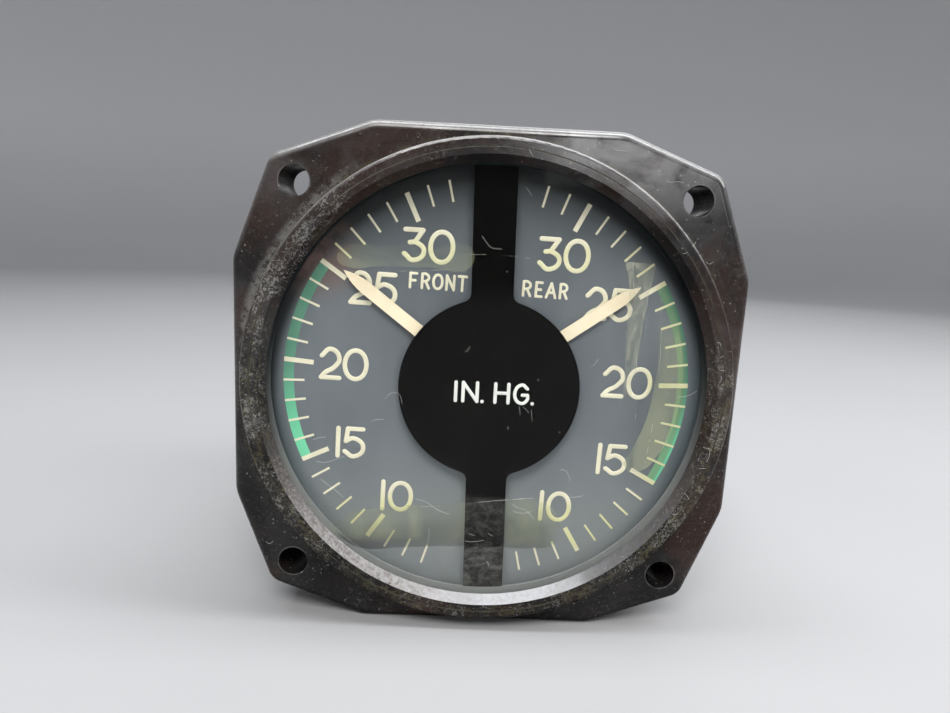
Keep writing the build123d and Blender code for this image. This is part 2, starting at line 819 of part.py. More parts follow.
def pressure_tube(side):
    """A tube from the union under the pressure capsule back and up to the port."""
    x = side * capsule_x
    rise_y = back_rear_y + tube_rise_gap
    start_y = capsule_y + stem_r
    path = FilletPolyline(
        (x, start_y, tube_z), (x, rise_y, tube_z), (x, rise_y, port_z),
        (x, cover_y - port_shank_len, port_z), radius=tube_bend_r)
    section = Plane(path @ 0, z_dir=path % 0)
    body = sweep(section * Circle(tube_r), path=path)
    body += upright_bar(union_r, union_z - union_len / 2, union_z + union_len / 2, x)
    body -= sweep(section * Circle(tube_bore_r), path=path)
    body -= disc(tube_bore_r, capsule_y, start_y, x, tube_z)
    body -= upright_bar(stem_passage_r, tube_z, union_z, x)
    return body - upright_bar(stem_r + thread_clearance, union_z, union_z + union_len / 2, x)


nodes = {
    "case": case(),
    "bezel_ring": bezel_ring(),
    "cover_glass": cover_glass(),
    "glass_gasket": ring(stack_r, stack_r - gasket_width, gasket_y, mask_y),
    "mask_plate": mask_plate(),
    "spacer_ring": ring(stack_r, stack_r - spacer_width, spacer_y, dial_y),
    "dial": dial(),
    "scale_marks": scale_marks(),
    "green_arcs": green_arcs(),
    "dial_posts": dial_posts(),
    "dial_screws": dial_screws(),
    "front_plate": front_plate(),
    "bridge_plate": bridge_plate(),
    "front_pillars": front_pillars(),
    "rear_pillars": rear_pillars(),
    "mount_posts": mount_posts(),
    "plate_screws": plate_screws(),
    "back_frame": back_frame(),
    "rear_cover": rear_cover(),
    "rear_gasket": ring(can_rear_r - cover_edge, case_bore_r + stack_clearance, case_end_y, cover_lip_y),
    "cover_screws": rear_screws(boss_spots()),
    "mount_screws": rear_screws(four_spots(pillar_spot)),
    "capsule_stems": capsule_stems(),
    "capsule_nuts": capsule_nuts(),
    "hairspring_studs": hairspring_studs(),
    "port_nuts": port_nuts(),
    "arbor_front": arbor_front(),
    "arbor_rear": arbor_rear(),
    "pointer_front": pointer(front_zero_angle + front_step_angle * front_reading, front_hub_y, arbor_r),
    "pointer_rear": pointer(rear_zero_angle + rear_step_angle * rear_reading, rear_hub_y, sleeve_r),
    "hairspring_front": hairspring(front_collet_y + collet_gap),
    "hairspring_rear": hairspring(rear_collet_y + collet_gap),
}
for end, side, pinion_y in (("front", -1, front_pinion_y), ("rear", 1, rear_pinion_y)):
    nodes["sector_gear_" + end] = sector_gear(side, pinion_y)
    nodes["sector_shaft_" + end] = sector_shaft(side)
    nodes["sector_arm_" + end] = sector_arm(side)
    nodes["link_" + end] = link(side)
    nodes["centre_block_" + end] = centre_block(side)
    nodes["pressure_capsule_" + end] = pressure_capsule(side)
    nodes["aneroid_capsule_" + end] = aneroid_capsule(side)
    nodes["port_fitting_" + end] = port_fitting(side)
    nodes["pressure_tube_" + end] = pressure_tube(side)

os.makedirs("parts", exist_ok=True)
for name, shape in nodes.items():
    solids = shape if isinstance(shape, list) else [shape]
    whole = Compound([solid for item in solids for solid in item.solids()])
    export_step(whole, "parts/" + name + ".step")
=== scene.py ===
import json
import math
import random

import bmesh
import bpy
from mathutils import Matrix, Vector


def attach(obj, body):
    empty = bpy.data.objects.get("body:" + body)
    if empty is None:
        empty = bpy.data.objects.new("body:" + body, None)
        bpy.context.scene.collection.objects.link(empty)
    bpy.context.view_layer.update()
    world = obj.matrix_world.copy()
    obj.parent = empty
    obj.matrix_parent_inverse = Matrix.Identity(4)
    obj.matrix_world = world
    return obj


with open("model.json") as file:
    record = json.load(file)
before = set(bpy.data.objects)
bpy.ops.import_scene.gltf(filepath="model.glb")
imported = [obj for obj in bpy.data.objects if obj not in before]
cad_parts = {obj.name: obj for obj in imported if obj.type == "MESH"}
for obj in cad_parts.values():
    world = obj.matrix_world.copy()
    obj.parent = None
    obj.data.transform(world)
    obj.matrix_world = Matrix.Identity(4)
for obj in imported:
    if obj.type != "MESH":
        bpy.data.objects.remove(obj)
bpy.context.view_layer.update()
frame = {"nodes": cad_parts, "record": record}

mm = 0.001
nodes = frame["nodes"]
print("frame loaded:", len(nodes), "nodes")


# camera, found from the ring, the holes and the tick marks of the photograph
photoCamera = {
    "place": (-0.004715, -0.105039, 0.023601),
    "turn": (80.0731, -2.8379, -0.8519),
    "lens": 25.01,
    "sensor": 36.0,
    "frame": (950, 713),
}


def addCamera(look):
    data = bpy.data.cameras.new("photoCamera")
    data.lens = look["lens"]
    data.sensor_width = look["sensor"]
    data.clip_start = 0.005
    data.clip_end = 50.0
    camera = bpy.data.objects.new("photoCamera", data)
    camera.location = look["place"]
    camera.rotation_euler = [math.radians(a) for a in look["turn"]]
    bpy.context.scene.collection.objects.link(camera)
    bpy.context.scene.camera = camera


addCamera(photoCamera)
print("camera placed")


# small helpers for node materials; every pattern reads object coordinates, which are in metres
def newFinish(name):
    finish = bpy.data.materials.new(name)
    finish.use_nodes = True
    tree = finish.node_tree
    tree.nodes.clear()
    out = tree.nodes.new("ShaderNodeOutputMaterial")
    skin = tree.nodes.new("ShaderNodeBsdfPrincipled")
    tree.links.new(skin.outputs["BSDF"], out.inputs["Surface"])
    spot = tree.nodes.new("ShaderNodeTexCoord")
    return finish, tree, skin, spot


def feed(tree, socket, value):
    if isinstance(value, bpy.types.NodeSocket):
        tree.links.new(value, socket)
    elif isinstance(value, tuple) and len(value) == 3 and socket.type == "RGBA":
        socket.default_value = (*value, 1.0)
    else:
        socket.default_value = value


def noise(tree, spot, scale, detail=4.0, rough=0.55, stretch=None, warp=0.0):
    where = spot.outputs["Object"]
    if stretch:
        shift = tree.nodes.new("ShaderNodeMapping")
        shift.inputs["Scale"].default_value = stretch
        tree.links.new(where, shift.inputs["Vector"])
        where = shift.outputs["Vector"]
    made = tree.nodes.new("ShaderNodeTexNoise")
    made.inputs["Scale"].default_value = scale
    made.inputs["Detail"].default_value = detail
    made.inputs["Roughness"].default_value = rough
    made.inputs["Distortion"].default_value = warp
    tree.links.new(where, made.inputs["Vector"])
    return made.outputs["Fac"]


def ramp(tree, value, low, high, start=0.0, end=1.0):
    made = tree.nodes.new("ShaderNodeMapRange")
    made.interpolation_type = "SMOOTHSTEP"
    feed(tree, made.inputs["Value"], value)
    made.inputs["From Min"].default_value = low
    made.inputs["From Max"].default_value = high
    made.inputs["To Min"].default_value = start
    made.inputs["To Max"].default_value = end
    return made.outputs["Result"]


def sums(tree, kind, first, second=0.0, third=0.0):
    made = tree.nodes.new("ShaderNodeMath")
    made.operation = kind
    feed(tree, made.inputs[0], first)
    feed(tree, made.inputs[1], second)
    feed(tree, made.inputs[2], third)
    return made.outputs["Value"]


def blendColour(tree, amount, low, high):
    made = tree.nodes.new("ShaderNodeMix")
    made.data_type = "RGBA"
    feed(tree, made.inputs["Factor"], amount)
    feed(tree, made.inputs["A"], low)
    feed(tree, made.inputs["B"], high)
    return made.outputs["Result"]


def axes(tree, spot, name="Object"):
    made = tree.nodes.new("ShaderNodeSeparateXYZ")
    tree.links.new(spot.outputs[name], made.inputs["Vector"])
    return made.outputs["X"], made.outputs["Y"], made.outputs["Z"]


def times(tree, first, *factors):
    # a mask cut down by one factor after another
    for factor in factors:
        first = sums(tree, "MULTIPLY", first, factor)
    return first


def most(tree, first, *others):
    for other in others:
        first = sums(tree, "MAXIMUM", first, other)
    return first


def zone(tree, along, low, high, start=0.0, end=1.0):
    # a soft border across a coordinate or a distance, from low to high in mm
    return ramp(tree, along, low * mm, high * mm, start, end)


def band(tree, value, middle, half):
    # full at the middle and nothing at half a width from it, both in mm
    away = sums(tree, "ABSOLUTE", sums(tree, "SUBTRACT", value, middle * mm))
    return ramp(tree, away, 0.0, half * mm, 1.0, 0.0)


def fromAxis(tree, across, up, x=0.0, z=0.0):
    # distance from the instrument's own axis, or from a line beside it that is given in mm
    offX = sums(tree, "SUBTRACT", across, x * mm)
    offZ = sums(tree, "SUBTRACT", up, z * mm)
    squares = sums(tree, "MULTIPLY_ADD", offX, offX, times(tree, offZ, offZ))
    return sums(tree, "SQRT", squares)


def specks(tree, spot, scale, size, share):
    # scattered grains: a small disc in some of the cells
    cells = tree.nodes.new("ShaderNodeTexVoronoi")
    cells.inputs["Scale"].default_value = scale
    tree.links.new(spot.outputs["Object"], cells.inputs["Vector"])
    picked = tree.nodes.new("ShaderNodeSeparateColor")
    tree.links.new(cells.outputs["Color"], picked.inputs["Color"])
    chosen = sums(tree, "LESS_THAN", picked.outputs["Red"], share)
    reach = times(tree, picked.outputs["Green"], size)
    inside = sums(tree, "LESS_THAN", cells.outputs["Distance"], reach)
    return times(tree, chosen, inside)


def bump(tree, skin, height, depth, strength):
    made = tree.nodes.new("ShaderNodeBump")
    made.inputs["Strength"].default_value = strength
    made.inputs["Distance"].default_value = depth
    tree.links.new(height, made.inputs["Height"])
    tree.links.new(made.outputs["Normal"], skin.inputs["Normal"])


mouldedBlack = {
    "black": (0.0095, 0.0085, 0.0085),
    "brown": (0.036, 0.018, 0.0125),
    "dust": (0.17, 0.16, 0.145),
    "grain": (0.30, 0.29, 0.265),
    "grime": (0.135, 0.120, 0.062),
    "lint": (0.22, 0.215, 0.20),
    "dustShare": 0.26,
    "grainShare": 0.14,
    "spark": (0.52, 0.51, 0.50),
    "sparkShare": 0.6,
    "roughLow": 0.13,
    "roughHigh": 0.34,
    "brownShare": 0.7,
    "lintFrom": 0.645,
    "scuff": (0.165, 0.160, 0.150),
    "paintedSheen": (0.132, 0.129, 0.132),
    "paintedSheenShare": 0.85,
    "dustAndHighlight": (0.36, 0.355, 0.35),
    "dustAndHighlightShare": 0.72,
    "scouredShare": 0.0,
    "scouredLow": (0.060, 0.048, 0.042),
    "scouredHigh": (0.30, 0.27, 0.255),
    "coat": 0.6,
}
# the four screw holes, whose walls are dull and whose rims are chafed, in mm
screwHole = {"off": 31.435, "r": 2.42, "softRim": 0.06, "chafedAt": 0.10, "chafedHalf": 0.14}
# where each kind of wear, the painted sheen and the dimming of the painted highlight lie on the moulding, in
# mm: from nothing to full, or a middle and its reach
wear = {
    "can": (4.0, 8.0),
    "paintedSheenRight": (21.0, 23.0), "paintedSheenLeft": (-34.0, 9.0), "paintedSheenUp": (24.0, 33.0),
    "dimRight": (10.0, 26.0), "dimBelow": (-8.0, 0.0),
    "ring": (38.0, 4.2), "lintLeft": (-16.0, -31.0), "gritRight": (16.0, 28.0),
    "gritBelow": (18.0, 0.0), "gritFoot": (-20.0, -32.0), "ochreBelow": (14.0, 2.0),
    "scuff": (40.1, 1.5), "scuffUp": (3.0, 10.0),
    "scouredLeft": (2.0, -15.0), "scouredBelow": (-4.0, -14.0),
    "polishUp": (-22.0, 32.0),
}


def mouldedPlaces(tree, spot):
    # masks that several layers of the moulding's finish share
    x, y, z = axes(tree, spot)
    upX, upY, upZ = axes(tree, spot, "Normal")
    wide, tall = sums(tree, "ABSOLUTE", x), sums(tree, "ABSOLUTE", z)
    behind = zone(tree, y, *wear["can"])
    forward = ramp(tree, upY, -0.03, -0.3)
    fromHole = fromAxis(tree, wide, tall, screwHole["off"], screwHole["off"])
    left = times(tree, zone(tree, x, *wear["lintLeft"]), ramp(tree, behind, 0.0, 0.4, 1.0, 0.0))
    lowRight = times(tree, zone(tree, x, *wear["gritRight"], 0.0, 0.85), zone(tree, z, *wear["gritBelow"]))
    low = most(tree, lowRight, zone(tree, z, *wear["gritFoot"], 0.0, 0.6))
    radius = fromAxis(tree, x, z)
    gritty = most(tree, left, times(tree, low, forward))
    return {
        "x": x, "z": z, "upZ": upZ, "radius": radius, "fromHole": fromHole,
        "behind": behind, "forward": forward,
        "bare": zone(tree, fromHole, screwHole["r"], screwHole["r"] + screwHole["softRim"]),
        "dimRight": zone(tree, x, *wear["dimRight"], 1.0, 0.6),
        "left": left,
        "onRing": times(tree, gritty, band(tree, radius, *wear["ring"])),
        "fine": noise(tree, spot, 1500.0, 3.0, 0.7),
        "clump": noise(tree, spot, 240.0, 4.0, 0.7),
    }


def agedColour(tree, spot, look, at, dustHere):
    # the black itself: brown patches, dust, a painted sheen at the top (a grey reflection painted into the
    # colour) and dust settled on upper edges, lightened into a painted highlight
    patches = noise(tree, spot, 46.0, 4.0, 0.6, warp=0.6)
    share = ramp(tree, at["behind"], 0.0, 1.0, look["brownShare"], look["brownShare"] * 0.5)
    brown = times(tree, ramp(tree, patches, 0.42, 0.62), share)
    colour = blendColour(tree, brown, look["black"], look["brown"])
    colour = blendColour(tree, dustHere, colour, look["dust"])
    # painted sheen: a grey reflection painted into the colour on the front face near the top, strongest at
    # the upper right
    paintedSheenSpots = most(tree, band(tree, at["x"], *wear["paintedSheenRight"]),
                    times(tree, band(tree, at["x"], *wear["paintedSheenLeft"]), 0.3))
    patchy = ramp(tree, noise(tree, spot, 95.0, 4.0, 0.6, warp=0.5), 0.40, 0.52, 0.0, look["paintedSheenShare"])
    paintedSheen = times(tree, paintedSheenSpots, at["forward"], zone(tree, at["z"], *wear["paintedSheenUp"]), patchy)
    colour = blendColour(tree, paintedSheen, colour, look["paintedSheen"])
    # dust on upward faces, lightened into a painted highlight along the top edges and on the lower cone,
    # dimmer on the lower right
    dustAndHighlight = times(tree, ramp(tree, at["upZ"], 0.05, 0.85, 0.0, look["dustAndHighlightShare"]),
                    ramp(tree, at["fine"], 0.2, 0.6, 0.7, 1.0), at["bare"],
                    ramp(tree, at["forward"], 0.0, 1.0, 0.10, 1.0),
                    most(tree, at["dimRight"], zone(tree, at["z"], *wear["dimBelow"])))
    return blendColour(tree, dustAndHighlight, colour, look["dustAndHighlight"])


def scuffedColour(tree, spot, look, at, colour, lintHere, scoured):
    # lint and ochre grit on the ring, a scuffed foot of the ring, chafed holes and the scoured cone
    colour = blendColour(tree, times(tree, lintHere, 0.85), colour, look["lint"])
    crust = ramp(tree, noise(tree, spot, 560.0, 5.0, 0.85, warp=1.5), 0.50, 0.60, 0.0, 0.55)
    ochre = times(tree, at["onRing"], crust, zone(tree, at["z"], *wear["ochreBelow"]))
    colour = blendColour(tree, ochre, colour, look["grime"])
    footHere = times(tree, band(tree, at["radius"], *wear["scuff"]), zone(tree, at["z"], *wear["scuffUp"]))
    patchy = ramp(tree, noise(tree, spot, 330.0, 6.0, 0.85), 0.44, 0.54, 0.0, 0.9)
    foot = times(tree, at["left"], footHere, patchy)
    colour = blendColour(tree, foot, colour, look["scuff"])
    rim = band(tree, at["fromHole"], screwHole["r"] + screwHole["chafedAt"], screwHole["chafedHalf"])
    chafed = times(tree, rim, ramp(tree, noise(tree, spot, 300.0, 3.0, 0.6), 0.36, 0.6, 0.0, 0.45))
    colour = blendColour(tree, chafed, colour, look["lint"])
    pits = sums(tree, "MULTIPLY_ADD", at["x"], 6.0, noise(tree, spot, 1900.0, 4.0, 0.8))
    pitted = blendColour(tree, ramp(tree, pits, 0.24, 0.52), look["scouredLow"], look["scouredHigh"])
    return blendColour(tree, scoured, colour, pitted)


def mouldedFinish(name, look, joints=()):
    # black phenolic moulding gone brown in places, greasy, with dust in its corners
    finish, tree, skin, spot = newFinish(name)
    at = mouldedPlaces(tree, spot)
    cloud = noise(tree, spot, 85.0, 5.0, 0.6)
    dustHere = times(tree, ramp(tree, cloud, 0.40, 0.74), ramp(tree, at["fine"], 0.46, 0.72),
                     ramp(tree, at["upZ"], -0.45, -0.05, 0.0, look["dustShare"]),
                     ramp(tree, at["behind"], 0.0, 1.0, 1.0, 0.5))
    # broken flecks, thick on the left of the ring and thin elsewhere
    flecks = noise(tree, spot, 1350.0, 4.0, 0.86, warp=1.8)
    thickHere = times(tree, sums(tree, "MULTIPLY_ADD", at["onRing"], 0.13, 0.035),
                      ramp(tree, at["clump"], 0.34, 0.6))
    lintHere = ramp(tree, sums(tree, "ADD", flecks, thickHere), look["lintFrom"], look["lintFrom"] + 0.06)
    scoured = times(tree, zone(tree, at["x"], *wear["scouredLeft"]),
                    zone(tree, at["z"], *wear["scouredBelow"]),
                    ramp(tree, at["upZ"], 0.12, 0.4, 0.0, look["scouredShare"]),
                    ramp(tree, noise(tree, spot, 800.0, 5.0, 0.85), 0.40, 0.60, 0.45, 1.0))
    colour = agedColour(tree, spot, look, at, dustHere)
    colour = scuffedColour(tree, spot, look, at, colour, lintHere, scoured)
    for where, half, share in joints:
        broken = ramp(tree, noise(tree, spot, 420.0, 4.0, 0.7), 0.40, 0.66)
        line = times(tree, band(tree, at["radius"], where, half), broken, share)
        colour = blendColour(tree, line, colour, look["grime"])
    grains = times(tree, specks(tree, spot, 2100.0, 0.30, look["grainShare"]),
                   ramp(tree, at["fine"], 0.40, 0.60), 0.8)
    colour = blendColour(tree, grains, colour, look["grain"])
    sparks = times(tree, specks(tree, spot, 850.0, 0.075, look["sparkShare"]),
                   ramp(tree, at["clump"], 0.40, 0.56, 0.0, 0.9),
                   ramp(tree, at["behind"], 0.0, 1.0, 1.0, 0.3))
    colour = blendColour(tree, sparks, colour, look["spark"])
    tree.links.new(colour, skin.inputs["Base Color"])
    # rough where there is dust, lint or scouring, and on the can
    smear = noise(tree, spot, 130.0, 5.0, 0.6, stretch=(1.0, 0.5, 1.8), warp=1.0)
    dull = most(tree, ramp(tree, smear, 0.3, 0.7, look["roughLow"], look["roughHigh"]),
                times(tree, dustHere, 1.3),
                most(tree, times(tree, lintHere, 0.8), times(tree, scoured, 0.5)))
    dull = sums(tree, "MINIMUM", sums(tree, "MULTIPLY_ADD", at["behind"], 0.16, dull), 0.9)
    tree.links.new(dull, skin.inputs["Roughness"])
    # the polish is worn off towards the foot, inside the holes, on the can and where a face looks down
    polish = times(tree, most(tree, at["bare"], 0.10), zone(tree, at["z"], *wear["polishUp"], 0.32, 1.0),
                   ramp(tree, noise(tree, spot, 62.0, 5.0, 0.62, warp=0.9), 0.38, 0.62, 0.5, 1.1),
                   ramp(tree, at["behind"], 0.0, 1.0, 1.0, 0.6), ramp(tree, at["upZ"], -0.6, -0.1, 0.18, 1.0))
    upperEdges = times(tree, at["bare"], ramp(tree, at["upZ"], 0.15, 0.5, 0.0, 0.8))
    polish = most(tree, polish, times(tree, at["forward"], at["dimRight"], upperEdges))
    tree.links.new(times(tree, polish, 0.62), skin.inputs["Specular IOR Level"])
    coat = times(tree, polish, look["coat"], ramp(tree, at["behind"], 0.0, 1.0, 1.0, 0.25),
                 ramp(tree, scoured, 0.0, 0.6, 1.0, 0.12))
    tree.links.new(coat, skin.inputs["Coat Weight"])
    skin.inputs["Coat Roughness"].default_value = 0.11
    peel = noise(tree, spot, 700.0, 3.0, 0.5)
    waves = noise(tree, spot, 150.0, 3.0, 0.5)
    height = sums(tree, "MULTIPLY_ADD", peel, 0.35, waves)
    height = sums(tree, "MULTIPLY_ADD", lintHere, 0.9, height)
    bump(tree, skin, height, 0.00005, 0.35)
    return finish


def plainPaint(name, look):
    # flat paint on metal or plastic: cloudy tone, fine pits, a few marks
    finish, tree, skin, spot = newFinish(name)
    cloud = noise(tree, spot, look.get("cloudScale", 110.0), 5.0, 0.6)
    colour = blendColour(tree, ramp(tree, cloud, 0.3, 0.7), look["low"], look["high"])
    if look.get("specks"):
        grains = specks(tree, spot, look["specks"], 0.3, look.get("speckShare", 0.12))
        colour = blendColour(tree, times(tree, grains, 0.75), colour, look["speckColour"])
    tree.links.new(colour, skin.inputs["Base Color"])
    fine = noise(tree, spot, look.get("grainScale", 1300.0), 4.0, 0.6)
    tree.links.new(ramp(tree, fine, 0.25, 0.75, *look["rough"]), skin.inputs["Roughness"])
    skin.inputs["Specular IOR Level"].default_value = look.get("gloss", 0.4)
    bump(tree, skin, fine, look.get("depth", 0.00004), look.get("bump", 0.4))
    return finish


def metalFinish(name, clean, tarnished, roughness, metal):
    # bare metal: brushed one way, tarnished in clouds
    finish, tree, skin, spot = newFinish(name)
    tarnish = ramp(tree, noise(tree, spot, 140.0, 5.0, 0.62), 0.36, 0.72)
    tree.links.new(blendColour(tree, tarnish, clean, tarnished), skin.inputs["Base Color"])
    skin.inputs["Metallic"].default_value = metal
    lines = noise(tree, spot, 900.0, 4.0, 0.6, stretch=(1.0, 1.0, 0.08))
    rough = sums(tree, "MULTIPLY_ADD", tarnish, 0.18, ramp(tree, lines, 0.25, 0.75, *roughness))
    tree.links.new(rough, skin.inputs["Roughness"])
    bump(tree, skin, lines, 0.00003, 0.35)
    return finish


dialLook = {
    "low": (0.118, 0.134, 0.150),
    "high": (0.152, 0.170, 0.186),
    "edge": (0.050, 0.074, 0.084),
    "foot": (0.260, 0.280, 0.275),
    "top": (0.052, 0.059, 0.062),
    "shade": (0.010, 0.011, 0.011),
    "brownPatch": (0.170, 0.108, 0.094),
    "topUp": (12.0, 36.0), "footDown": (-4.0, -30.0),  # in mm, as are the rest
    "edgeAt": (33.4, 36.2), "edgeUp": (-30.0, -16.0),
    "shadeFrom": (0.6, -3.0), "shadeAt": (34.9, 37.0),
    "brownPatchFrom": (-28.2, 20.0), "brownPatchAt": (1.0, 9.0),
}


def dialFinish(look):
    # blue-grey lacquer with a reddish-brown patch at the upper left; painted shade darkens it towards the top
    # and to the rim and lays a painted shadow of the ring along its upper edge, and painted light makes it
    # lighter towards the foot
    finish, tree, skin, spot = newFinish("dialLacquer")
    x, y, z = axes(tree, spot)
    radius = fromAxis(tree, x, z)
    cloud = noise(tree, spot, 75.0, 5.0, 0.6, stretch=(1.0, 1.0, 0.45), warp=0.4)
    colour = blendColour(tree, ramp(tree, cloud, 0.32, 0.68), look["low"], look["high"])
    # painted shade: darker towards the top, where the ring shades the dial
    colour = blendColour(tree, zone(tree, z, *look["topUp"], 0.0, 0.85), colour, look["top"])
    # painted light: lighter towards the foot
    colour = blendColour(tree, zone(tree, z, *look["footDown"], 0.0, 0.6), colour, look["foot"])
    # painted shade at the rim, strongest in the upper part
    rim = times(tree, zone(tree, radius, *look["edgeAt"], 0.0, 0.65),
                zone(tree, z, *look["edgeUp"], 0.2, 1.0))
    colour = blendColour(tree, rim, colour, look["edge"])
    # a painted shadow of the ring: near black outside a circle whose centre lies a little below the axis
    under = fromAxis(tree, x, z, *look["shadeFrom"])
    colour = blendColour(tree, zone(tree, under, *look["shadeAt"], 0.0, 0.93), colour, look["shade"])
    # a reddish-brown patch at the upper left
    brownPatchWhere = zone(tree, fromAxis(tree, x, z, *look["brownPatchFrom"]), *look["brownPatchAt"], 1.0, 0.0)
    brownPatch = times(tree, brownPatchWhere, ramp(tree, noise(tree, spot, 190.0, 5.0, 0.65), 0.28, 0.56))
    colour = blendColour(tree, brownPatch, colour, look["brownPatch"])
    darkSpots = specks(tree, spot, 170.0, 0.16, 0.10)
    colour = blendColour(tree, times(tree, darkSpots, 0.35), colour, look["edge"])
    tree.links.new(colour, skin.inputs["Base Color"])
    fine = noise(tree, spot, 1700.0, 4.0, 0.6)
    tree.links.new(ramp(tree, fine, 0.3, 0.7, 0.46, 0.62), skin.inputs["Roughness"])
    skin.inputs["Specular IOR Level"].default_value = 0.3
    bump(tree, skin, fine, 0.00003, 0.3)
    return finish


maskLook = {
    "black": (0.0016, 0.0015, 0.0014),
    "worn": (0.0036, 0.0034, 0.0031),
    "dust": (0.150, 0.147, 0.138),
    "grain": (0.36, 0.35, 0.33),
    "rimLow": (0.235, 0.245, 0.240),
    "rimShadedHigh": (0.022, 0.028, 0.030),
    "dustDown": (-18.5, -20.5), "rimAt": (35.30, 35.40), "rimUp": (-24.0, 12.0),  # in mm
}


def maskFinish(look):
    # black lacquer; its lower bar is grey with dust, and its rim is painted the dial's tone behind the glass:
    # light grey at the foot, darkening upwards as painted shade
    finish, tree, skin, spot = newFinish("maskLacquer")
    x, y, z = axes(tree, spot)
    cloud = noise(tree, spot, 90.0, 5.0, 0.6)
    colour = blendColour(tree, ramp(tree, cloud, 0.35, 0.7), look["black"], look["worn"])
    low = zone(tree, z, *look["dustDown"])
    streaks = noise(tree, spot, 420.0, 7.0, 0.80, stretch=(1.0, 1.0, 1.5), warp=0.5)
    dusty = times(tree, low, ramp(tree, streaks, 0.38, 0.72, 0.14, 0.80))
    colour = blendColour(tree, dusty, colour, look["dust"])
    grains = most(tree, specks(tree, spot, 210.0, 0.10, 0.16), specks(tree, spot, 480.0, 0.13, 0.07))
    colour = blendColour(tree, times(tree, grains, 0.65), colour, look["grain"])
    # the rim: the dial's light foot tone low down, and painted shade higher up
    rim = zone(tree, fromAxis(tree, x, z), *look["rimAt"])
    rimTone = blendColour(tree, zone(tree, z, *look["rimUp"]), look["rimLow"], look["rimShadedHigh"])
    colour = blendColour(tree, rim, colour, rimTone)
    tree.links.new(colour, skin.inputs["Base Color"])
    fine = noise(tree, spot, 1500.0, 4.0, 0.6)
    tree.links.new(ramp(tree, fine, 0.3, 0.7, 0.40, 0.55), skin.inputs["Roughness"])
    skin.inputs["Specular IOR Level"].default_value = 0.02
    bump(tree, skin, fine, 0.00002, 0.25)
    return finish


glassLook = {"tint": (0.985, 0.995, 0.985), "ior": 1.15, "rough": 0.012}


def glassFinish(look):
    # clear flat glass; lamps shine through it, so that the dial is lit
    finish, tree, skin, spot = newFinish("coverGlass")
    skin.inputs["Base Color"].default_value = (*look["tint"], 1.0)
    skin.inputs["Transmission Weight"].default_value = 1.0
    skin.inputs["IOR"].default_value = look["ior"]
    wipes = noise(tree, spot, 160.0, 5.0, 0.65, stretch=(0.35, 1.0, 1.6), warp=1.2)
    tree.links.new(ramp(tree, wipes, 0.45, 0.8, 0.004, look["rough"]), skin.inputs["Roughness"])
    clear = tree.nodes.new("ShaderNodeBsdfTransparent")
    rays = tree.nodes.new("ShaderNodeLightPath")
    both = tree.nodes.new("ShaderNodeMixShader")
    out = next(n for n in tree.nodes if n.type == "OUTPUT_MATERIAL")
    tree.links.new(rays.outputs["Is Shadow Ray"], both.inputs["Fac"])
    tree.links.new(skin.outputs["BSDF"], both.inputs[1])
    tree.links.new(clear.outputs["BSDF"], both.inputs[2])
    tree.links.new(both.outputs["Shader"], out.inputs["Surface"])
    return finish


cream = {
    "low": (0.74, 0.695, 0.52),
    "high": (0.84, 0.80, 0.62),
    "yellow": (0.66, 0.66, 0.30),
    "lowTape": ((-19.0, -22.0), (-29.5, -27.5)),  # where old tape lies over it, in mm
    "highTape": ((18.5, 20.0), (24.5, 22.5)),
    "sideTape": (26.0, 28.0),
}


def paintMarks(name, look):
    # thick cream paint, yellower where the old tape lies over it
    finish, tree, skin, spot = newFinish(name)
    x, y, z = axes(tree, spot)
    cloud = noise(tree, spot, 260.0, 5.0, 0.65)
    colour = blendColour(tree, ramp(tree, cloud, 0.3, 0.7), look["low"], look["high"])
    lower = times(tree, *(zone(tree, z, *edge) for edge in look["lowTape"]))
    upper = times(tree, *(zone(tree, z, *edge) for edge in look["highTape"]))
    side = zone(tree, x, *look["sideTape"], 0.0, 0.75)
    aged = times(tree, most(tree, lower, times(tree, upper, 0.6), side), 0.7)
    colour = blendColour(tree, aged, colour, look["yellow"])
    tree.links.new(colour, skin.inputs["Base Color"])
    fine = noise(tree, spot, 1400.0, 4.0, 0.6)
    tree.links.new(ramp(tree, fine, 0.3, 0.7, 0.5, 0.7), skin.inputs["Roughness"])
    skin.inputs["Specular IOR Level"].default_value = 0.3
    bump(tree, skin, fine, 0.00004, 0.5)
    return finish


greenLook = {
    "low": (0.080, 0.250, 0.165),
    "high": (0.120, 0.300, 0.205),
    "foot": (0.175, 0.65, 0.38),
    "aged": (0.205, 0.335, 0.18),
    "shaded": (0.030, 0.110, 0.062),
    "paintedLightDown": (4.0, -12.0), "rightHalf": (20.0, 24.0),  # in mm, as are the next two
    "tapeInside": (33.6, 33.1), "shadedUp": (-12.0, 3.0),
}


def greenFinish(look):
    # green paint, lighter towards its foot as painted light; the right arc is yellowed under old tape, and
    # painted shade darkens it higher up
    finish, tree, skin, spot = newFinish("greenBand")
    x, y, z = axes(tree, spot)
    cloud = noise(tree, spot, 160.0, 5.0, 0.6)
    colour = blendColour(tree, ramp(tree, cloud, 0.3, 0.7), look["low"], look["high"])
    # painted light: lighter towards the foot
    colour = blendColour(tree, zone(tree, z, *look["paintedLightDown"]), colour, look["foot"])
    inner = zone(tree, fromAxis(tree, x, z), *look["tapeInside"])
    aged = times(tree, zone(tree, x, *look["rightHalf"], 0.0, 0.8), inner)
    colour = blendColour(tree, aged, colour, look["aged"])
    shadeHere = times(tree, zone(tree, x, *look["rightHalf"]), zone(tree, z, *look["shadedUp"], 0.25, 0.9))
    colour = blendColour(tree, times(tree, shadeHere, 0.38), colour, look["shaded"])
    tree.links.new(colour, skin.inputs["Base Color"])
    fine = noise(tree, spot, 1300.0, 4.0, 0.6)
    tree.links.new(ramp(tree, fine, 0.25, 0.75, 0.45, 0.62), skin.inputs["Roughness"])
    skin.inputs["Specular IOR Level"].default_value = 0.4
    bump(tree, skin, fine, 0.00004, 0.4)
    return finish


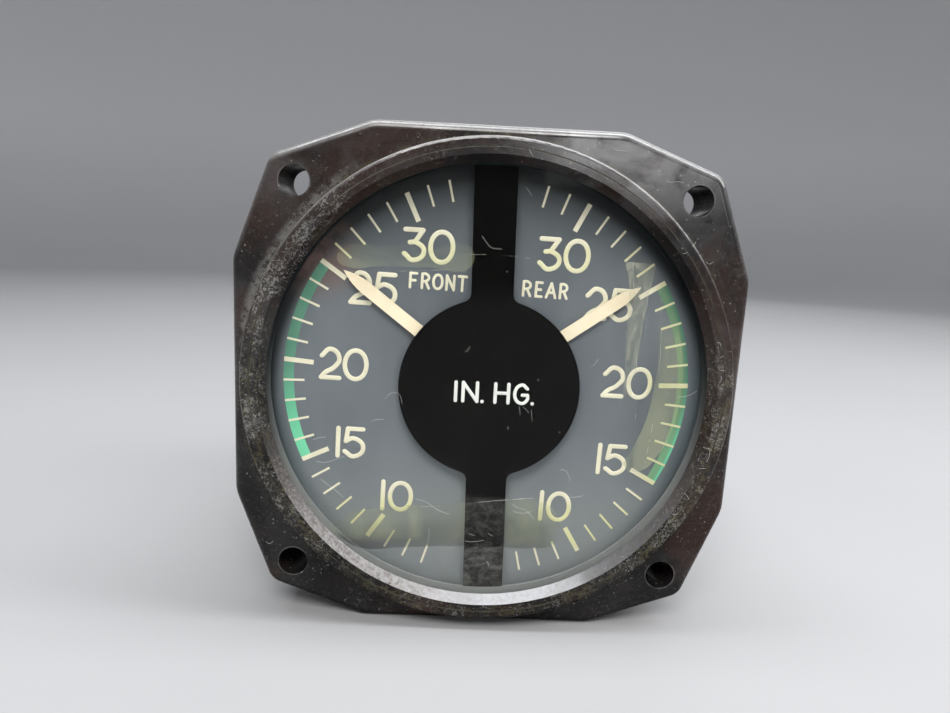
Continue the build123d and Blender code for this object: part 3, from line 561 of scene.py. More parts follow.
caseJoints = ((37.75, 0.25, 0.35), (39.7, 0.8, 0.5))  # radius, half width and share of each dirty line
bezelJoints = ((37.65, 0.25, 0.35),)
bezelBlack = {
    **mouldedBlack, "brownShare": 0.55, "dustShare": 0.34, "grainShare": 0.12, "dustAndHighlight": (0.40, 0.40, 0.41),
    "dustAndHighlightShare": 0.7, "scouredShare": 0.9, "paintedSheenShare": 0.3, "roughLow": 0.12, "roughHigh": 0.26,
    "lintFrom": 0.640,
}
rubberLook = {"low": (0.012, 0.012, 0.012), "high": (0.022, 0.021, 0.020),
              "rough": (0.62, 0.85), "gloss": 0.25}
spacerLook = {"low": (0.030, 0.038, 0.044), "high": (0.050, 0.060, 0.066), "rough": (0.45, 0.65)}
pointerLook = {"low": (0.86, 0.73, 0.51), "high": (0.91, 0.81, 0.60), "rough": (0.5, 0.68),
               "cloudScale": 260.0, "depth": 0.00005, "bump": 0.5}
coverLook = {"low": (0.012, 0.012, 0.012), "high": (0.022, 0.021, 0.021), "rough": (0.30, 0.55), "gloss": 0.5,
             "specks": 2600.0, "speckShare": 0.035, "speckColour": (0.12, 0.115, 0.105), "cloudScale": 60.0,
             "grainScale": 900.0, "depth": 0.00005, "bump": 0.5}
# name, clean colour, tarnished colour, roughness from and to, share of metal
metals = {
    "brass": ("agedBrass", (0.62, 0.46, 0.19), (0.36, 0.25, 0.12), (0.24, 0.42), 1.0),
    "steel": ("turnedSteel", (0.56, 0.56, 0.55), (0.33, 0.32, 0.31), (0.22, 0.4), 1.0),
    "frame": ("castFrame", (0.50, 0.50, 0.50), (0.30, 0.30, 0.31), (0.38, 0.58), 0.9),
    "copper": ("drawnCopper", (0.66, 0.31, 0.20), (0.34, 0.17, 0.12), (0.22, 0.42), 1.0),
    "capsules": ("capsuleBronze", (0.60, 0.47, 0.30), (0.44, 0.33, 0.22), (0.2, 0.34), 1.0),
    "hairsprings": ("springBronze", (0.50, 0.36, 0.22), (0.32, 0.23, 0.15), (0.25, 0.4), 1.0),
}
finishes = {
    "case": mouldedFinish("caseMoulding", mouldedBlack, caseJoints),
    "bezel_ring": mouldedFinish("bezelLacquer", bezelBlack, bezelJoints),
    "cover_glass": glassFinish(glassLook),
    "rubber": plainPaint("sealRubber", rubberLook),
    "mask_plate": maskFinish(maskLook),
    "spacer_ring": plainPaint("spacerPaint", spacerLook),
    "dial": dialFinish(dialLook),
    "scale_marks": paintMarks("creamMarks", cream),
    "green_arcs": greenFinish(greenLook),
    "pointers": plainPaint("pointerPaint", pointerLook),
    "rear_cover": plainPaint("coverEnamel", coverLook),
}
for slotName, metal in metals.items():
    finishes[slotName] = metalFinish(*metal)
for part in frame["record"]["subparts"]:
    node = nodes[part["node"]]
    if node.material_slots:
        for place in node.material_slots:
            place.material = finishes[part["material_slot"]]
    else:
        node.data.materials.append(finishes[part["material_slot"]])
print("finishes made:", len(finishes))


# lettering: each sign is a few strokes in a box one wide and one high
# "c" points are corners and "s" points are smooth
signs = {
    "0": [("loop", (0.5, 1, "s"), (1, 0.5, "s"), (0.5, 0, "s"), (0, 0.5, "s"))],
    "O": [("loop", (0.5, 1, "s"), (1, 0.5, "s"), (0.5, 0, "s"), (0, 0.5, "s"))],
    "1": [("line", (0.5, 0, "c"), (0.5, 1, "c"))],
    "I": [("line", (0.5, 0, "c"), (0.5, 1, "c"))],
    "2": [("line", (0.02, 0.76, "s"), (0.48, 1, "s"), (0.98, 0.71, "s"), (0.72, 0.38, "s"),
           (0.22, 0.17, "s"), (0.0, 0.0, "s")),
          ("line", (0, 0, "c"), (1, 0, "c"))],
    "3": [("line", (0.02, 1, "c"), (0.9, 1, "c")), ("line", (0.9, 1, "c"), (0.52, 0.6, "c")),
          ("line", (0.27, 0.58, "s"), (0.56, 0.59, "s"), (1, 0.3, "s"), (0.48, 0, "s"), (0, 0.2, "s"))],
    "5": [("line", (0.95, 1, "c"), (0.14, 1, "c")), ("line", (0.14, 1, "c"), (0.05, 0.55, "c")),
          ("line", (0.05, 0.55, "s"), (0.48, 0.66, "s"), (1, 0.33, "s"), (0.5, 0, "s"), (0, 0.17, "s"))],
    "F": [("line", (0, 0, "c"), (0, 1, "c")), ("line", (0, 1, "c"), (1, 1, "c")),
          ("line", (0, 0.5, "c"), (0.78, 0.5, "c"))],
    "R": [("line", (0, 0, "c"), (0, 1, "c")), ("line", (0.5, 0.49, "c"), (1, 0, "c")),
          ("line", (0, 1, "c"), (0.55, 1, "s"), (0.97, 0.745, "s"), (0.55, 0.49, "s"), (0, 0.49, "c"))],
    "N": [("line", (0, 0, "c"), (0, 1, "c")), ("line", (0, 1, "c"), (1, 0, "c")),
          ("line", (1, 0, "c"), (1, 1, "c"))],
    "T": [("line", (0, 1, "c"), (1, 1, "c")), ("line", (0.5, 1, "c"), (0.5, 0, "c"))],
    "E": [("line", (0, 0, "c"), (0, 1, "c")), ("line", (0, 1, "c"), (1, 1, "c")),
          ("line", (0, 0.5, "c"), (0.82, 0.5, "c")), ("line", (0, 0, "c"), (1, 0, "c"))],
    "A": [("line", (0, 0, "c"), (0.5, 1, "c")), ("line", (0.5, 1, "c"), (1, 0, "c")),
          ("line", (0.18, 0.34, "c"), (0.82, 0.34, "c"))],
    "H": [("line", (0, 0, "c"), (0, 1, "c")), ("line", (1, 0, "c"), (1, 1, "c")),
          ("line", (0, 0.51, "c"), (1, 0.51, "c"))],
    "G": [("line", (0.93, 0.8, "s"), (0.5, 1, "s"), (0, 0.5, "s"), (0.48, 0, "s"), (0.97, 0.22, "s"),
           (0.97, 0.45, "s")),
          ("line", (0.97, 0.45, "c"), (0.58, 0.45, "c"))],
    ".": [("line", (0.5, 0, "c"), (0.5, 0.01, "c"))],
}
# sign, centre x, centre z and width over the paint, in mm on the dial or disc
digitHigh, digitStroke = 5.65, 0.82
frontNumbers = {
    "signs": [("3", -12.82, 22.49, 3.98), ("0", -8.41, 22.33, 4.45),
              ("2", -21.35, 15.22, 3.85), ("5", -17.25, 15.1, 3.95),
              ("2", -26.06, 2.46, 3.8), ("0", -21.9, 2.38, 4.4),
              ("1", -24.64, -11.01, 0.82), ("5", -21.9, -11.07, 3.93),
              ("1", -16.83, -20.16, 0.82), ("0", -13.8, -20.3, 4.42)],
    "high": digitHigh, "stroke": digitStroke, "turn": -1.2, "face": 3.2, "thick": 0.05,
}
rearNumbers = {
    "signs": [("3", 9.15, 22.08, 4.0), ("0", 13.55, 21.99, 4.5),
              ("2", 17.25, 14.45, 3.9), ("5", 21.4, 14.33, 4.0),
              ("2", 21.24, 1.5, 3.95), ("0", 25.61, 1.42, 4.45),
              ("1", 19.91, -12.0, 0.82), ("5", 22.77, -12.14, 3.98),
              ("1", 10.54, -20.91, 0.82), ("0", 13.58, -21.01, 4.42)],
    "high": digitHigh, "stroke": digitStroke, "turn": -1.2, "face": 3.2, "thick": 0.05,
}
frontWord = {
    "signs": [("F", -12.8, 16.83, 1.5), ("R", -10.82, 16.79, 1.58), ("O", -8.82, 16.74, 1.92),
              ("N", -6.78, 16.69, 1.66), ("T", -4.82, 16.64, 1.72)],
    "high": 2.74, "stroke": 0.47, "turn": -1.27, "face": 3.2, "thick": 0.045,
}
rearWord = {
    "signs": [("R", 5.75, 16.36, 1.62), ("E", 7.72, 16.3, 1.4), ("A", 9.72, 16.24, 1.95),
              ("R", 11.78, 16.19, 1.55)],
    "high": 2.74, "stroke": 0.47, "turn": -1.4, "face": 3.2, "thick": 0.045,
}
unitWords = {
    "signs": [("I", -5.1, -0.85, 0.58), ("N", -2.73, -0.85, 2.9), (".", -0.71, -0.85, 0.6),
              ("H", 2.5, -0.86, 2.74), ("G", 5.72, -0.86, 2.76), (".", 7.6, -0.86, 0.6)],
    "high": 3.68, "stroke": 0.58, "turn": 0.0, "face": 1.1, "thick": 0.04,
}


def guideLine(kind, points):
    # the smooth middle line of one stroke, read from a Bezier curve
    curve = bpy.data.curves.new("guide", "CURVE")
    curve.dimensions = "3D"
    curve.resolution_u = 9
    spline = curve.splines.new("BEZIER")
    spline.bezier_points.add(len(points) - 1)
    for knot, (x, z, corner) in zip(spline.bezier_points, points):
        knot.co = (x, 0.0, z)
        knot.handle_left_type = "VECTOR" if corner == "c" else "AUTO"
        knot.handle_right_type = knot.handle_left_type
    spline.use_cyclic_u = kind == "loop"
    guide = bpy.data.objects.new("guide", curve)
    line = bpy.data.meshes.new_from_object(guide)
    found = [v.co.copy() for v in line.vertices]
    bpy.data.objects.remove(guide)
    bpy.data.meshes.remove(line)
    return found


def addRun(curve, path, closed, reach):
    # one stroke with a round end at each end, for a curve whose bevel gives it its width
    steps = [] if closed else [math.radians(a) for a in (84, 62, 40, 20)]
    first = (path[0] - path[1]).normalized()
    last = (path[-1] - path[-2]).normalized()
    run = [(path[0] + first * reach * math.sin(a), math.cos(a)) for a in steps]
    run += [(p, 1.0) for p in path]
    run += [(path[-1] + last * reach * math.sin(a), math.cos(a)) for a in reversed(steps)]
    spline = curve.splines.new("POLY")
    spline.points.add(len(run) - 1)
    for knot, (place, size) in zip(spline.points, run):
        knot.co = (*place, 1.0)
        knot.radius = size
    spline.use_cyclic_u = closed


def asPiece(name, made, finish, body="case"):
    # a curve becomes a mesh piece with its place in its mesh
    mesh = bpy.data.meshes.new_from_object(made)
    bpy.data.objects.remove(made)
    return meshPiece(name, mesh, finish, body)


def meshPiece(name, mesh, finish, body="case", smooth=True):
    mesh.name = name
    mesh.materials.clear()
    mesh.materials.append(finish)
    for face in mesh.polygons:
        face.use_smooth = smooth
    piece = bpy.data.objects.new(name, mesh)
    bpy.context.scene.collection.objects.link(piece)
    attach(piece, body)
    return piece


def outwards(mesh):
    shell = bmesh.new()
    shell.from_mesh(mesh)
    bmesh.ops.remove_doubles(shell, verts=shell.verts, dist=1e-7)
    bmesh.ops.recalc_face_normals(shell, faces=shell.faces)
    shell.to_mesh(mesh)
    shell.free()


def letterPiece(name, look, finish):
    # raised paint: round strokes pressed flat against the face that they are painted on
    curve = bpy.data.curves.new(name, "CURVE")
    curve.dimensions = "3D"
    curve.bevel_depth = look["stroke"] / 2 * mm
    curve.bevel_resolution = 3
    curve.use_fill_caps = True
    turn = Matrix.Rotation(math.radians(-look["turn"]), 4, "Y")
    for sign, centreX, centreZ, over in look["signs"]:
        wide = max(over - look["stroke"], 0.0)
        high = look["high"] - look["stroke"]
        for kind, *points in signs[sign]:
            path = guideLine(kind, [((x - 0.5) * wide * mm, (z - 0.5) * high * mm, c) for x, z, c in points])
            path = [turn @ p + Vector((centreX * mm, 0.0, centreZ * mm)) for p in path]
            addRun(curve, path, kind == "loop", look["stroke"] / 2 * mm)
    made = bpy.data.objects.new(name, curve)
    piece = asPiece(name, made, finish, "case")
    flat = look["thick"] / (look["stroke"] / 2)
    for corner in piece.data.vertices:
        corner.co.y = look["face"] * mm + corner.co.y * flat
    outwards(piece.data)
    return piece


letterPaint = paintMarks("creamNumbers", cream)
whiteLook = {"low": (0.72, 0.73, 0.69), "high": (0.82, 0.83, 0.79), "rough": (0.5, 0.7),
             "cloudScale": 300.0, "bump": 0.4}
whitePaint = plainPaint("whiteWords", whiteLook)
letterPiece("numbers_front", frontNumbers, letterPaint)
letterPiece("numbers_rear", rearNumbers, letterPaint)
letterPiece("word_front", frontWord, letterPaint)
letterPiece("word_rear", rearWord, letterPaint)
letterPiece("unit_words", unitWords, whitePaint)
print("lettering painted")


# what has stuck to the glass: films left by old tape, their bright edges, lint and dust
glassFace = -1.3
filmThick, filmProud = 0.012, 0.004
barGap, barLean = (0.41, 3.28), 0.0161  # the mask's bar as it shows on the glass: middle, half width, lean


def filmFinish(name, look):
    # a cloudy film that lets most of what is under it through
    finish, tree, skin, spot = newFinish(name)
    x, y, z = axes(tree, spot)
    cloud = noise(tree, spot, look["cloudScale"], 5.0, 0.62, stretch=look.get("stretch"), warp=0.8)
    colour = blendColour(tree, ramp(tree, cloud, 0.3, 0.7), look["low"], look["high"])
    tree.links.new(colour, skin.inputs["Base Color"])
    cover = ramp(tree, cloud, look["from"], look["to"], look["thin"], look["thick"])
    if "fade" in look:
        way, start, end = look["fade"]
        cover = times(tree, cover, zone(tree, {"x": x, "z": z}[way], start, end))
    if "gap" in look:
        # what lies over the bar is painted on the bar
        middle, half = look["gap"]
        upright = sums(tree, "MULTIPLY_ADD", z, barLean, x)
        away = sums(tree, "ABSOLUTE", sums(tree, "SUBTRACT", upright, middle * mm))
        cover = times(tree, cover, zone(tree, away, half, half + 0.12))
    tree.links.new(cover, skin.inputs["Alpha"])
    fine = noise(tree, spot, 1200.0, 4.0, 0.6)
    tree.links.new(ramp(tree, fine, 0.3, 0.7, 0.5, 0.8), skin.inputs["Roughness"])
    skin.inputs["Specular IOR Level"].default_value = 0.15
    bump(tree, skin, fine, 0.00002, 0.3)
    return finish


def filmPiece(name, outline, finish):
    # a thin flat sheet on the glass, from its outline in mm as seen from the front
    curve = bpy.data.curves.new(name, "CURVE")
    curve.dimensions = "2D"
    curve.fill_mode = "BOTH"
    curve.extrude = filmThick / 2 * mm
    curve.resolution_u = 5
    spline = curve.splines.new("BEZIER")
    spline.bezier_points.add(len(outline) - 1)
    for knot, (x, z, corner) in zip(spline.bezier_points, outline):
        knot.co = (x * mm, z * mm, 0.0)
        knot.handle_left_type = "VECTOR" if corner == "c" else "AUTO"
        knot.handle_right_type = knot.handle_left_type
    spline.use_cyclic_u = True
    mesh = bpy.data.meshes.new_from_object(bpy.data.objects.new(name, curve))
    mesh.transform(Matrix.Rotation(math.radians(90), 4, "X"))
    mesh.transform(Matrix.Translation((0, (glassFace - filmProud - filmThick / 2) * mm, 0)))
    outwards(mesh)
    return meshPiece(name, mesh, finish, smooth=False)


tapeLook = {"low": (0.44, 0.49, 0.25), "high": (0.62, 0.65, 0.38), "cloudScale": 190.0,
            "from": 0.3, "to": 0.7, "thin": 0.05, "thick": 0.15}
tapes = {
    "tape_mark_low": {
        "outline": [(-24.6, -24.6, "s"), (-23.3, -23.2, "s"), (-20.9, -21.65, "s"), (-17.6, -20.8, "s"),
                    (-13.5, -20.25, "s"), (-8.5, -19.7, "s"), (-2.7, -19.1, "s"), (3.1, -18.5, "s"),
                    (8.0, -18.3, "s"), (11.5, -19.2, "s"), (13.2, -22.4, "s"), (12.4, -26.0, "s"),
                    (9.0, -26.9, "s"), (3.0, -26.8, "s"), (-2.4, -26.9, "s"), (-6.6, -27.1, "s"),
                    (-13.2, -27.6, "s"), (-20.0, -27.9, "s"), (-22.6, -26.7, "s")],
        "look": {**tapeLook, "thin": 0.03, "thick": 0.12, "stretch": (1.0, 1.0, 0.5),
                 "fade": ("z", -27.6, -24.8), "gap": barGap},
    },
    "tape_mark_side": {
        "outline": [(25.7, 17.6, "s"), (26.2, 14.0, "s"), (27.0, 8.0, "s"), (26.9, 2.0, "s"),
                    (26.0, -4.0, "s"), (24.2, -9.0, "s"), (23.2, -11.8, "s"), (26.0, -12.4, "s"),
                    (28.6, -9.6, "s"), (30.6, -5.0, "s"), (31.4, 1.0, "s"), (31.0, 7.0, "s"),
                    (29.6, 12.4, "s"), (28.2, 16.8, "s")],
        "look": {**tapeLook, "thin": 0.06, "thick": 0.17, "stretch": (1.0, 1.0, 0.25),
                 "fade": ("z", 14.5, 8.0)},
    },
    "tape_mark_corner": {
        "outline": [(20.3, 21.6, "c"), (25.3, 21.4, "c"), (24.7, 16.5, "s"), (24.2, 12.0, "s"),
                    (23.8, 6.0, "s"), (23.3, 0.0, "s"), (22.6, -5.5, "s"), (22.1, -5.5, "s"),
                    (21.9, 3.0, "s"), (21.6, 10.0, "s"), (21.3, 18.5, "s")],
        "look": {**tapeLook, "low": (0.30, 0.33, 0.19), "high": (0.62, 0.62, 0.46), "cloudScale": 760.0,
                 "from": 0.48, "to": 0.66, "thin": 0.11, "thick": 0.24, "stretch": (1.0, 1.0, 0.34),
                 "fade": ("z", -5.0, 10.0)},
    },
    "tape_mark_high": {
        "outline": [(-24.4, 19.8, "s"), (-23.4, 21.6, "s"), (-18.0, 22.2, "s"), (-10.0, 22.6, "s"),
                    (-3.9, 22.7, "s"), (-3.6, 19.6, "s"), (-10.0, 19.2, "s"), (-18.0, 19.0, "s"),
                    (-22.6, 18.6, "s")],
        "look": {**tapeLook, "thin": 0.01, "thick": 0.10, "cloudScale": 110.0, "stretch": (0.4, 1.0, 1.6)},
    },
}
for filmName, film in tapes.items():
    filmPiece(filmName, film["outline"], filmFinish(filmName + "_film", film["look"]))

# a greasy haze that thickens towards the foot of the glass
hazeRound, hazeTop, hazeFoot = 35.2, -10.0, -32.0
hazeLook = {"low": (0.38, 0.39, 0.385), "high": (0.46, 0.465, 0.45), "cloudScale": 60.0,
            "from": 0.32, "to": 0.72, "thin": 0.035, "thick": 0.085,
            "fade": ("z", hazeTop, hazeFoot), "gap": barGap}


def hazePiece(name, look, reach):
    # the lower part of a thin disc
    shell = bmesh.new()
    upright = Matrix.Translation((0, (glassFace - 0.002) * mm, 0)) @ Matrix.Rotation(math.radians(90), 4, "X")
    bmesh.ops.create_circle(shell, cap_ends=True, segments=96, radius=reach * mm, matrix=upright)
    everything = list(shell.verts) + list(shell.edges) + list(shell.faces)
    bmesh.ops.bisect_plane(shell, geom=everything, plane_co=(0, 0, hazeTop * mm), plane_no=(0, 0, 1),
                           clear_outer=True)
    grown = bmesh.ops.extrude_face_region(shell, geom=list(shell.faces))
    risen = [g for g in grown["geom"] if isinstance(g, bmesh.types.BMVert)]
    bmesh.ops.translate(shell, verts=risen, vec=(0, -0.0015 * mm, 0))
    bmesh.ops.recalc_face_normals(shell, faces=shell.faces)
    mesh = bpy.data.meshes.new(name)
    shell.to_mesh(mesh)
    shell.free()
    return meshPiece(name, mesh, filmFinish(name + "_film", look), smooth=False)


hazePiece("glass_haze", hazeLook, hazeRound)
print("tape films laid")


# lint: thin fibres lying on the glass and on the case
lint = {
    "thick": 0.045,
    "colour": {"low": (0.50, 0.50, 0.47), "high": (0.66, 0.66, 0.62), "rough": (0.6, 0.8),
               "cloudScale": 400.0},
}


def fibrePiece(name, paths, look, faceY, thick=None, finish=None):
    # fine threads along paths on one face
    curve = bpy.data.curves.new(name, "CURVE")
    curve.dimensions = "3D"
    curve.bevel_depth = (thick or look["thick"]) / 2 * mm
    curve.bevel_resolution = 1
    curve.resolution_u = 6
    curve.use_fill_caps = True
    for path in paths:
        spline = curve.splines.new("NURBS")
        spline.points.add(len(path) - 1)
        for knot, (x, z) in zip(spline.points, path):
            knot.co = (x * mm, (faceY - (thick or look["thick"]) / 2) * mm, z * mm, 1.0)
        spline.order_u = min(4, len(path))
        spline.use_endpoint_u = True
    made = bpy.data.objects.new(name, curve)
    piece = asPiece(name, made, finish or plainPaint(name + "_fibre", look["colour"]), "case")
    outwards(piece.data)
    return piece


def onPlane(u, v, y):
    # a point of the photograph's frame carried to the plane at y, in mm
    bpy.context.view_layer.update()
    eye = bpy.context.scene.camera.matrix_world
    wide, high = photoCamera["frame"]
    focal = photoCamera["lens"] / photoCamera["sensor"] * wide
    way = eye.to_3x3() @ Vector(((u - wide / 2) / focal, -(v - high / 2) / focal, -1.0))
    start = eye.translation / mm
    reach = (y - start.y) / way.y
    return (start.x + way.x * reach, start.z + way.z * reach)


# all three lists of paths are in points of the photograph's frame, these fibres lie on the glass
lintPaths = [
    [(385, 399), (389, 393), (396, 392), (401, 394), (402, 404)],
    [(371, 421.5), (376, 418.5), (384, 419.6)],
    [(313, 440), (319, 437), (326, 437)],
    [(316, 461), (322, 463), (330, 462), (337, 459), (344.5, 456)],
    [(321, 479), (328, 485), (336, 490), (343, 497)],
    [(415, 499), (424, 500), (434, 508), (441, 512), (449, 514)],
    [(428, 529), (430, 530), (429, 538), (427, 546)],
    [(678, 397), (686, 397), (692, 395), (697, 390.5)],
    [(560, 470), (565, 468), (569, 473), (570, 481)],
    [(570, 497), (576, 498), (583, 495.5)],
    [(512, 504), (518, 509), (524, 508), (528, 512), (534, 519)],
    [(513, 511), (519, 514), (526, 514), (532, 511)],
    [(591, 366), (595, 366), (598, 359)],
    [(465, 351.6), (468, 352), (470, 346)],
    [(519, 406), (520, 410), (520, 415)],
    [(523, 407), (526, 409), (529, 413)],
    [(531, 410), (532, 416), (532, 421)],
    [(469, 533.5), (471.5, 535.5), (475, 535)],
    [(465, 541), (472, 542.6), (480, 541.2), (484, 540)],
    [(488, 533), (489.5, 535), (492.5, 536)],
    [(486.5, 561), (488, 562), (488.5, 566)],
    [(478, 502.4), (484, 501.7), (492, 501.2)],
    [(494, 500.9), (501, 500.4), (509, 499.8)],
    [(512, 499.6), (521, 498.9), (533, 498.2)],
    [(507, 428), (509, 431), (508, 426)],
    [(482, 236), (487, 243), (489, 247), (494, 249), (502, 249)],
    [(526, 187), (529, 191), (532, 196)],
]
lintRuns = [[onPlane(u, v, glassFace - 0.03) for u, v in path] for path in lintPaths]
fibrePiece("glass_lint", lintRuns, lint, glassFace)
# the broken edges of the tape
edgePaths = [
    [(336, 524), (346, 515), (360, 511.5), (380, 509), (400, 508)],
    [(400, 508), (430, 506.5), (450, 505.5), (465, 504.2)],
    [(465, 504), (480, 502), (492, 500.8), (510, 499.5), (531, 498)],
    [(345, 271), (380, 271.5), (420, 271.5), (456, 269)],
    [(470, 254.5), (486, 254.5)], [(502, 255.5), (512, 255.5), (538, 260)],
    [(633, 262), (634, 300), (636, 352), (637, 380)],
    [(645, 262), (650, 300), (646, 330), (643, 352)],
    [(635, 400), (636, 420), (635, 440)],
    [(661, 287), (662, 335), (659, 385), (652, 430), (645, 463)],
]
edgeLook = {"low": (0.50, 0.50, 0.44), "high": (0.70, 0.70, 0.62), "cloudScale": 520.0,
            "from": 0.42, "to": 0.62, "thin": 0.05, "thick": 0.9}
edgeRuns = [[onPlane(u, v, glassFace - 0.02) for u, v in path] for path in edgePaths]
fibrePiece("tape_edges", edgeRuns, lint, glassFace, 0.035, filmFinish("tape_edges_film", edgeLook))

# fibres on the case, each with the face that it lies on
caseFibres = [
    ([(529, 146), (529, 151), (533, 156)], -3.0),
    ([(683, 253.5), (688, 254), (691, 249), (696, 242)], -3.0),
    ([(666, 181), (671, 184), (677, 180), (684, 183)], 0.0),
    ([(613, 149), (619, 151), (623, 150), (628, 152)], 0.0),
    ([(706, 262), (709, 266), (713, 262)], 0.0),
    ([(266, 541), (269, 546), (273, 541)], 0.0),
    ([(720, 358), (723, 355), (727, 357), (727.5, 362), (724, 364)], -3.0),
    ([(719, 369), (722, 372), (726, 370)], -3.0),
    ([(721, 376), (722, 381), (719, 383)], -3.0),
    ([(717, 343), (720, 341), (721, 346)], -3.0),
    ([(703, 447), (706, 449), (709, 448)], -3.0),
    ([(708, 448), (711, 452), (710, 458), (706, 462)], -3.0),
    ([(699, 469), (703, 468), (707, 469)], -3.0),
    ([(684, 493), (688, 496), (689, 500)], -3.0),
    ([(672, 514), (675, 516), (678, 513)], -3.0),
]
for count, (path, faceY) in enumerate(caseFibres):
    fibrePiece(f"case_lint_{count + 1}", [[onPlane(u, v, faceY - 0.02) for u, v in path]], lint, faceY)
print("lint laid")


# dust grains big enough to stand proud
dust = {"seed": 31, "glassCount": 110, "ringCount": 150, "earCount": 90, "small": 0.03, "big": 0.10,
        "colour": {"low": (0.30, 0.29, 0.27), "high": (0.48, 0.47, 0.44), "rough": (0.7, 0.9),
                   "cloudScale": 500.0}}


def grainPiece(name, spots, finish):
    # each grain is a small flattened ball
    shell = bmesh.new()
    for place, size, turn in spots:
        made = bmesh.ops.create_icosphere(shell, subdivisions=1, radius=size / 2 * mm)
        bmesh.ops.scale(shell, verts=made["verts"], vec=(1.0, 0.35, 0.62))
        bmesh.ops.rotate(shell, verts=made["verts"], cent=(0, 0, 0), matrix=Matrix.Rotation(turn, 3, "Y"))
        bmesh.ops.translate(shell, verts=made["verts"], vec=Vector(place) * mm)
    mesh = bpy.data.meshes.new(name)
    shell.to_mesh(mesh)
    shell.free()
    return meshPiece(name, mesh, finish, smooth=False)


def ringSpots(draw, count, near, far, faceY, lowBias=0.0):
    # places between two radii on a face, fewer of them high up where lowBias is more than 0
    spots = []
    while len(spots) < count:
        angle = draw.uniform(0, 2 * math.pi)
        radius = math.sqrt(draw.uniform(near ** 2, far ** 2))
        x, z = radius * math.sin(angle), radius * math.cos(angle)
        if draw.random() < lowBias * (0.5 + z / (2 * far)):
            continue
        size = dust["small"] + (dust["big"] - dust["small"]) * draw.random() ** 3
        spots.append(((x, faceY - size * 0.12, z), size, draw.uniform(0, math.pi)))
    return spots


grainDraw = random.Random(dust["seed"])
grainFinish = plainPaint("dustGrains", dust["colour"])
grainPiece("glass_dust", ringSpots(grainDraw, dust["glassCount"], 0.5, 35.0, glassFace, 0.7), grainFinish)
grainPiece("ring_dust", ringSpots(grainDraw, dust["ringCount"], 36.8, 38.9, -3.03), grainFinish)
ears = {"box": 37, "near": 40.2, "far": 45.5, "hole": 31.4, "holeClear": 3.1, "slant": 66}


def earSpots(draw, count, look):
    # places on the flange's four ears, clear of the screw holes
    spots = []
    while len(spots) < count:
        x, z = draw.uniform(-look["box"], look["box"]), draw.uniform(-look["box"], look["box"])
        onEar = look["near"] < math.hypot(x, z) < look["far"] and abs(x) + abs(z) < look["slant"]
        if onEar and math.hypot(abs(x) - look["hole"], abs(z) - look["hole"]) > look["holeClear"]:
            size = dust["small"] + (dust["big"] - dust["small"]) * draw.random() ** 2
            spots.append(((x, -size * 0.1, z), size, draw.uniform(0, math.pi)))
    return spots


grainPiece("flange_dust", earSpots(grainDraw, dust["earCount"], ears), grainFinish)
print("dust laid")


# dirt pressed into the joint between the ring and the case
jointDirt = {"near": 37.69, "far": 37.81, "front": -2.985, "back": -2.9, "steps": 180,
             "colour": {"low": (0.030, 0.026, 0.021), "high": (0.085, 0.076, 0.055), "rough": (0.6, 0.85),
                        "cloudScale": 330.0}}


def ringPiece(name, look):
    # a small square section spun round the instrument's axis
    shell = bmesh.new()
    corners = [(look["near"], look["front"]), (look["far"], look["front"]), (look["far"], look["back"]),
               (look["near"], look["back"])]
    line = [shell.verts.new((r * mm, y * mm, 0)) for r, y in corners]
    edges = [shell.edges.new((line[i], line[(i + 1) % 4])) for i in range(4)]
    bmesh.ops.spin(shell, geom=line + edges, cent=(0, 0, 0), axis=(0, 1, 0), angle=2 * math.pi,
                   steps=look["steps"], use_merge=True)
    bmesh.ops.recalc_face_normals(shell, faces=shell.faces)
    mesh = bpy.data.meshes.new(name)
    shell.to_mesh(mesh)
    shell.free()
    return meshPiece(name, mesh, plainPaint(name + "_grime", look["colour"]), smooth=False)


ringPiece("joint_dirt", jointDirt)
print("joint filled")


# threads in the two port bores at the back
portThread = {"x": 13.0, "z": -4.0, "mouth": 83.6, "pitch": 0.94, "turns": 8, "root": 4.42, "crest": 3.95,
              "steps": 28}


def threadPiece(name, side, look):
    # a three-sided section wound up inside the bore
    shell = bmesh.new()
    axisX, axisZ = side * look["x"] * mm, look["z"] * mm
    start = look["mouth"] - 0.35
    profile = [(look["root"], start + 0.35), (look["crest"], start), (look["root"], start - 0.35)]
    corners = [shell.verts.new((axisX + r * mm, y * mm, axisZ)) for r, y in profile]
    edges = [shell.edges.new((corners[i], corners[(i + 1) % 3])) for i in range(3)]
    shell.faces.new(corners)
    steps = look["steps"] * look["turns"]
    made = bmesh.ops.spin(shell, geom=edges, cent=(axisX, 0, axisZ), axis=(0, 1, 0),
                          dvec=(0, -look["pitch"] / look["steps"] * mm, 0),
                          angle=2 * math.pi * look["turns"], steps=steps, use_merge=False)
    last = [g for g in made["geom_last"] if isinstance(g, bmesh.types.BMEdge)]
    bmesh.ops.contextual_create(shell, geom=last)
    bmesh.ops.recalc_face_normals(shell, faces=shell.faces)
    mesh = bpy.data.meshes.new(name)
    shell.to_mesh(mesh)
    shell.free()
    return meshPiece(name, mesh, finishes["brass"], smooth=False)


threadPiece("port_thread_front", -1, portThread)
threadPiece("port_thread_rear", 1, portThread)
print("threads cut")


